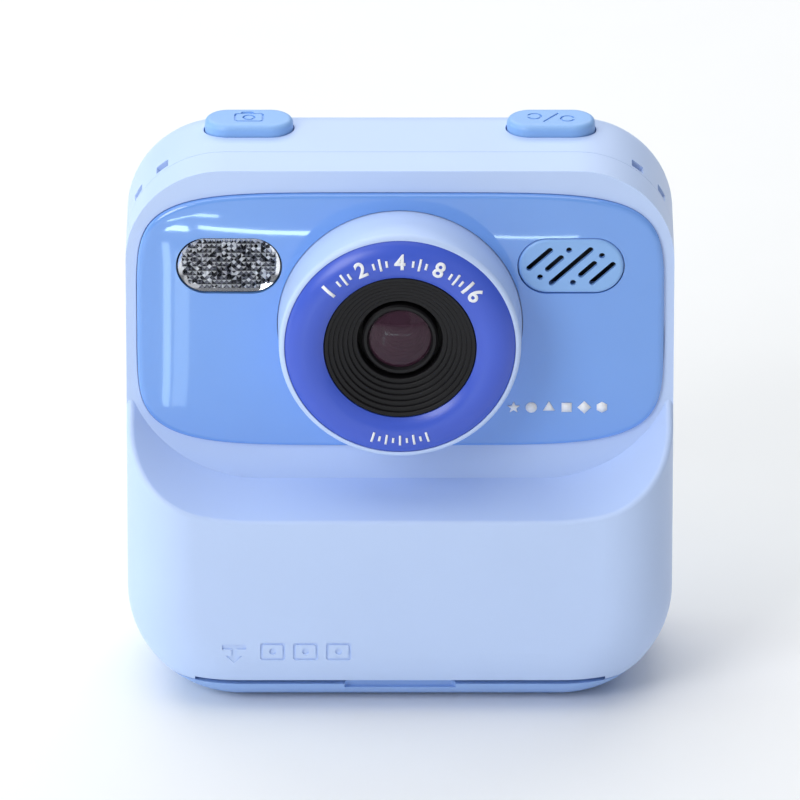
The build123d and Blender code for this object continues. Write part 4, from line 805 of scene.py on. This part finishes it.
def make_window():
    """The display window, with its outer edges softened."""
    half = (window_high - window_low) / 2
    edge = 0.3 * MM
    levels = [(0.0, window_low.y)]
    levels += [(inset, window_high.y - back) for inset, back in quarter_round(edge, 5)]
    levels += [(edge * 1.6, window_high.y), (edge * 3.0, window_high.y)]
    verts = []
    for inset, y in levels:
        outline = rounded_outline(half.x - inset, half.z - inset, WINDOW_CORNER - inset)
        verts += at_depth(outline, WINDOW_CENTRE, y)
    count = len(verts) // len(levels)
    top = (len(levels) - 1) * count
    faces = ring_faces(len(levels), count) + [tuple(range(count)), tuple(range(top, top + count))]
    made = piece("window_glass", verts, faces, [window_acrylic])
    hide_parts("display_window")


def make_screen():
    """The area that lights up, a thin sheet just on the window's face."""
    outline = rounded_outline(SCREEN_HALF.x, SCREEN_HALF.z, SCREEN_CORNER)
    verts = at_depth(outline, WINDOW_CENTRE, window_high.y + SCREEN_RISE)
    face = tuple(range(len(verts)))
    piece("screen_area", verts, [face], [screen_glass], thickness=SCREEN_DEPTH)


make_window()
make_screen()


# ---- camera, floor and lights -------------------------------------------------------------------------
ELEVATION = math.radians(24.5)
DISTANCE = 2.6
VIEW_WIDTH = 0.1410  # across the picture, at the place aimed at
SENSOR_WIDTH = 36.0
FLOOR_REACH = 4.0
AIM = Vector((0.0, 0.0, 0.0508))
camera_data = bpy.data.cameras.new("camera")
camera_data.sensor_width = SENSOR_WIDTH
camera_data.lens = SENSOR_WIDTH * DISTANCE / VIEW_WIDTH
camera_data.clip_start = 0.01
camera = bpy.data.objects.new("camera", camera_data)
bpy.context.scene.collection.objects.link(camera)
camera.location = AIM + DISTANCE * Vector((0, -math.cos(ELEVATION), math.sin(ELEVATION)))
camera.rotation_euler = (AIM - camera.location).to_track_quat("-Z", "Y").to_euler()
bpy.context.scene.camera = camera

floor_mesh = bpy.data.meshes.new("floor")
floor_corners = [(x * FLOOR_REACH, y * FLOOR_REACH, 0) for x, y in SQUARE]
floor_mesh.from_pydata(floor_corners, [], [(0, 1, 2, 3)])
floor = bpy.data.objects.new("floor", floor_mesh)
bpy.context.scene.collection.objects.link(floor)
floor_mesh.materials.append(material("floor_paint", (0.93, 0.935, 0.94), 0.7, shade=0.004))

world = bpy.data.worlds.new("studio")
bpy.context.scene.world = world
world.use_nodes = True
background = world.node_tree.nodes["Background"]
background.inputs["Color"].default_value = (0.95, 0.97, 1.0, 1)
background.inputs["Strength"].default_value = 0.24
bpy.context.scene.view_settings.view_transform = "Standard"


def area_light(name, location, target, size, power, color=(1, 1, 1)):
    """Rectangular light, turned to a target and not seen by the camera itself."""
    data = bpy.data.lights.new(name, "AREA")
    data.shape = "RECTANGLE"
    data.size, data.size_y = size
    data.energy = power
    data.color = color
    made = bpy.data.objects.new(name, data)
    bpy.context.scene.collection.objects.link(made)
    made.location = location
    made.rotation_euler = (Vector(target) - Vector(location)).to_track_quat("-Z", "Y").to_euler()
    made.visible_camera = False
    return made


def reflector(name, location, target, size, brightness):
    """Small strip in front of the camera, seen only as a streak in glossy surfaces."""
    power = math.pi * size[0] * size[1] * brightness
    made = area_light(name, location, target, size, power, (0.72, 0.96, 1.0))
    made.visible_diffuse = False
    made.visible_transmission = False


CENTRE = (0, 0, 0.05)
area_light("top", (-0.15, 0.0, 0.9), CENTRE, (0.9, 0.9), 4.2)
area_light("key", (-0.6, -0.75, 0.6), CENTRE, (0.5, 0.5), 4.9)
area_light("fill", (0.5, -0.9, 0.35), CENTRE, (0.6, 0.6), 0.4)
area_light("left_rim", (-0.5, 0.05, 0.15), CENTRE, (0.3, 0.3), 0.6, (0.7, 0.95, 1.0))
area_light("back_floor", (0.0, 1.5, 1.2), (0, 1.4, 0), (2.4, 1.2), 22.0)

STREAK_Y = -0.15
LEFT_STREAK_Y = -0.125
PANEL_SPOT = (-0.02, panel_low.y, 0.085)
LEFT_SPOT = (-0.044, panel_low.y, 0.07)
reflector("streak_left_end", (-0.0475, STREAK_Y, 0.0335), PANEL_SPOT, (0.007, 0.0024), 12.0)
reflector("streak_long", (-0.0235, STREAK_Y, 0.0352), PANEL_SPOT, (0.036, 0.0017), 11.0)
reflector("streak_short", (-0.0440, STREAK_Y, 0.0410), PANEL_SPOT, (0.016, 0.0014), 9.0)
reflector("streak_right", (0.0225, STREAK_Y, 0.0332), PANEL_SPOT, (0.028, 0.0010), 8.0)
reflector("streak_left", (-0.0490, LEFT_STREAK_Y, 0.013), LEFT_SPOT, (0.0018, 0.045), 3.5)
reflector("streak_left_wide", (-0.0455, LEFT_STREAK_Y, 0.013), LEFT_SPOT, (0.0035, 0.040), 1.5)
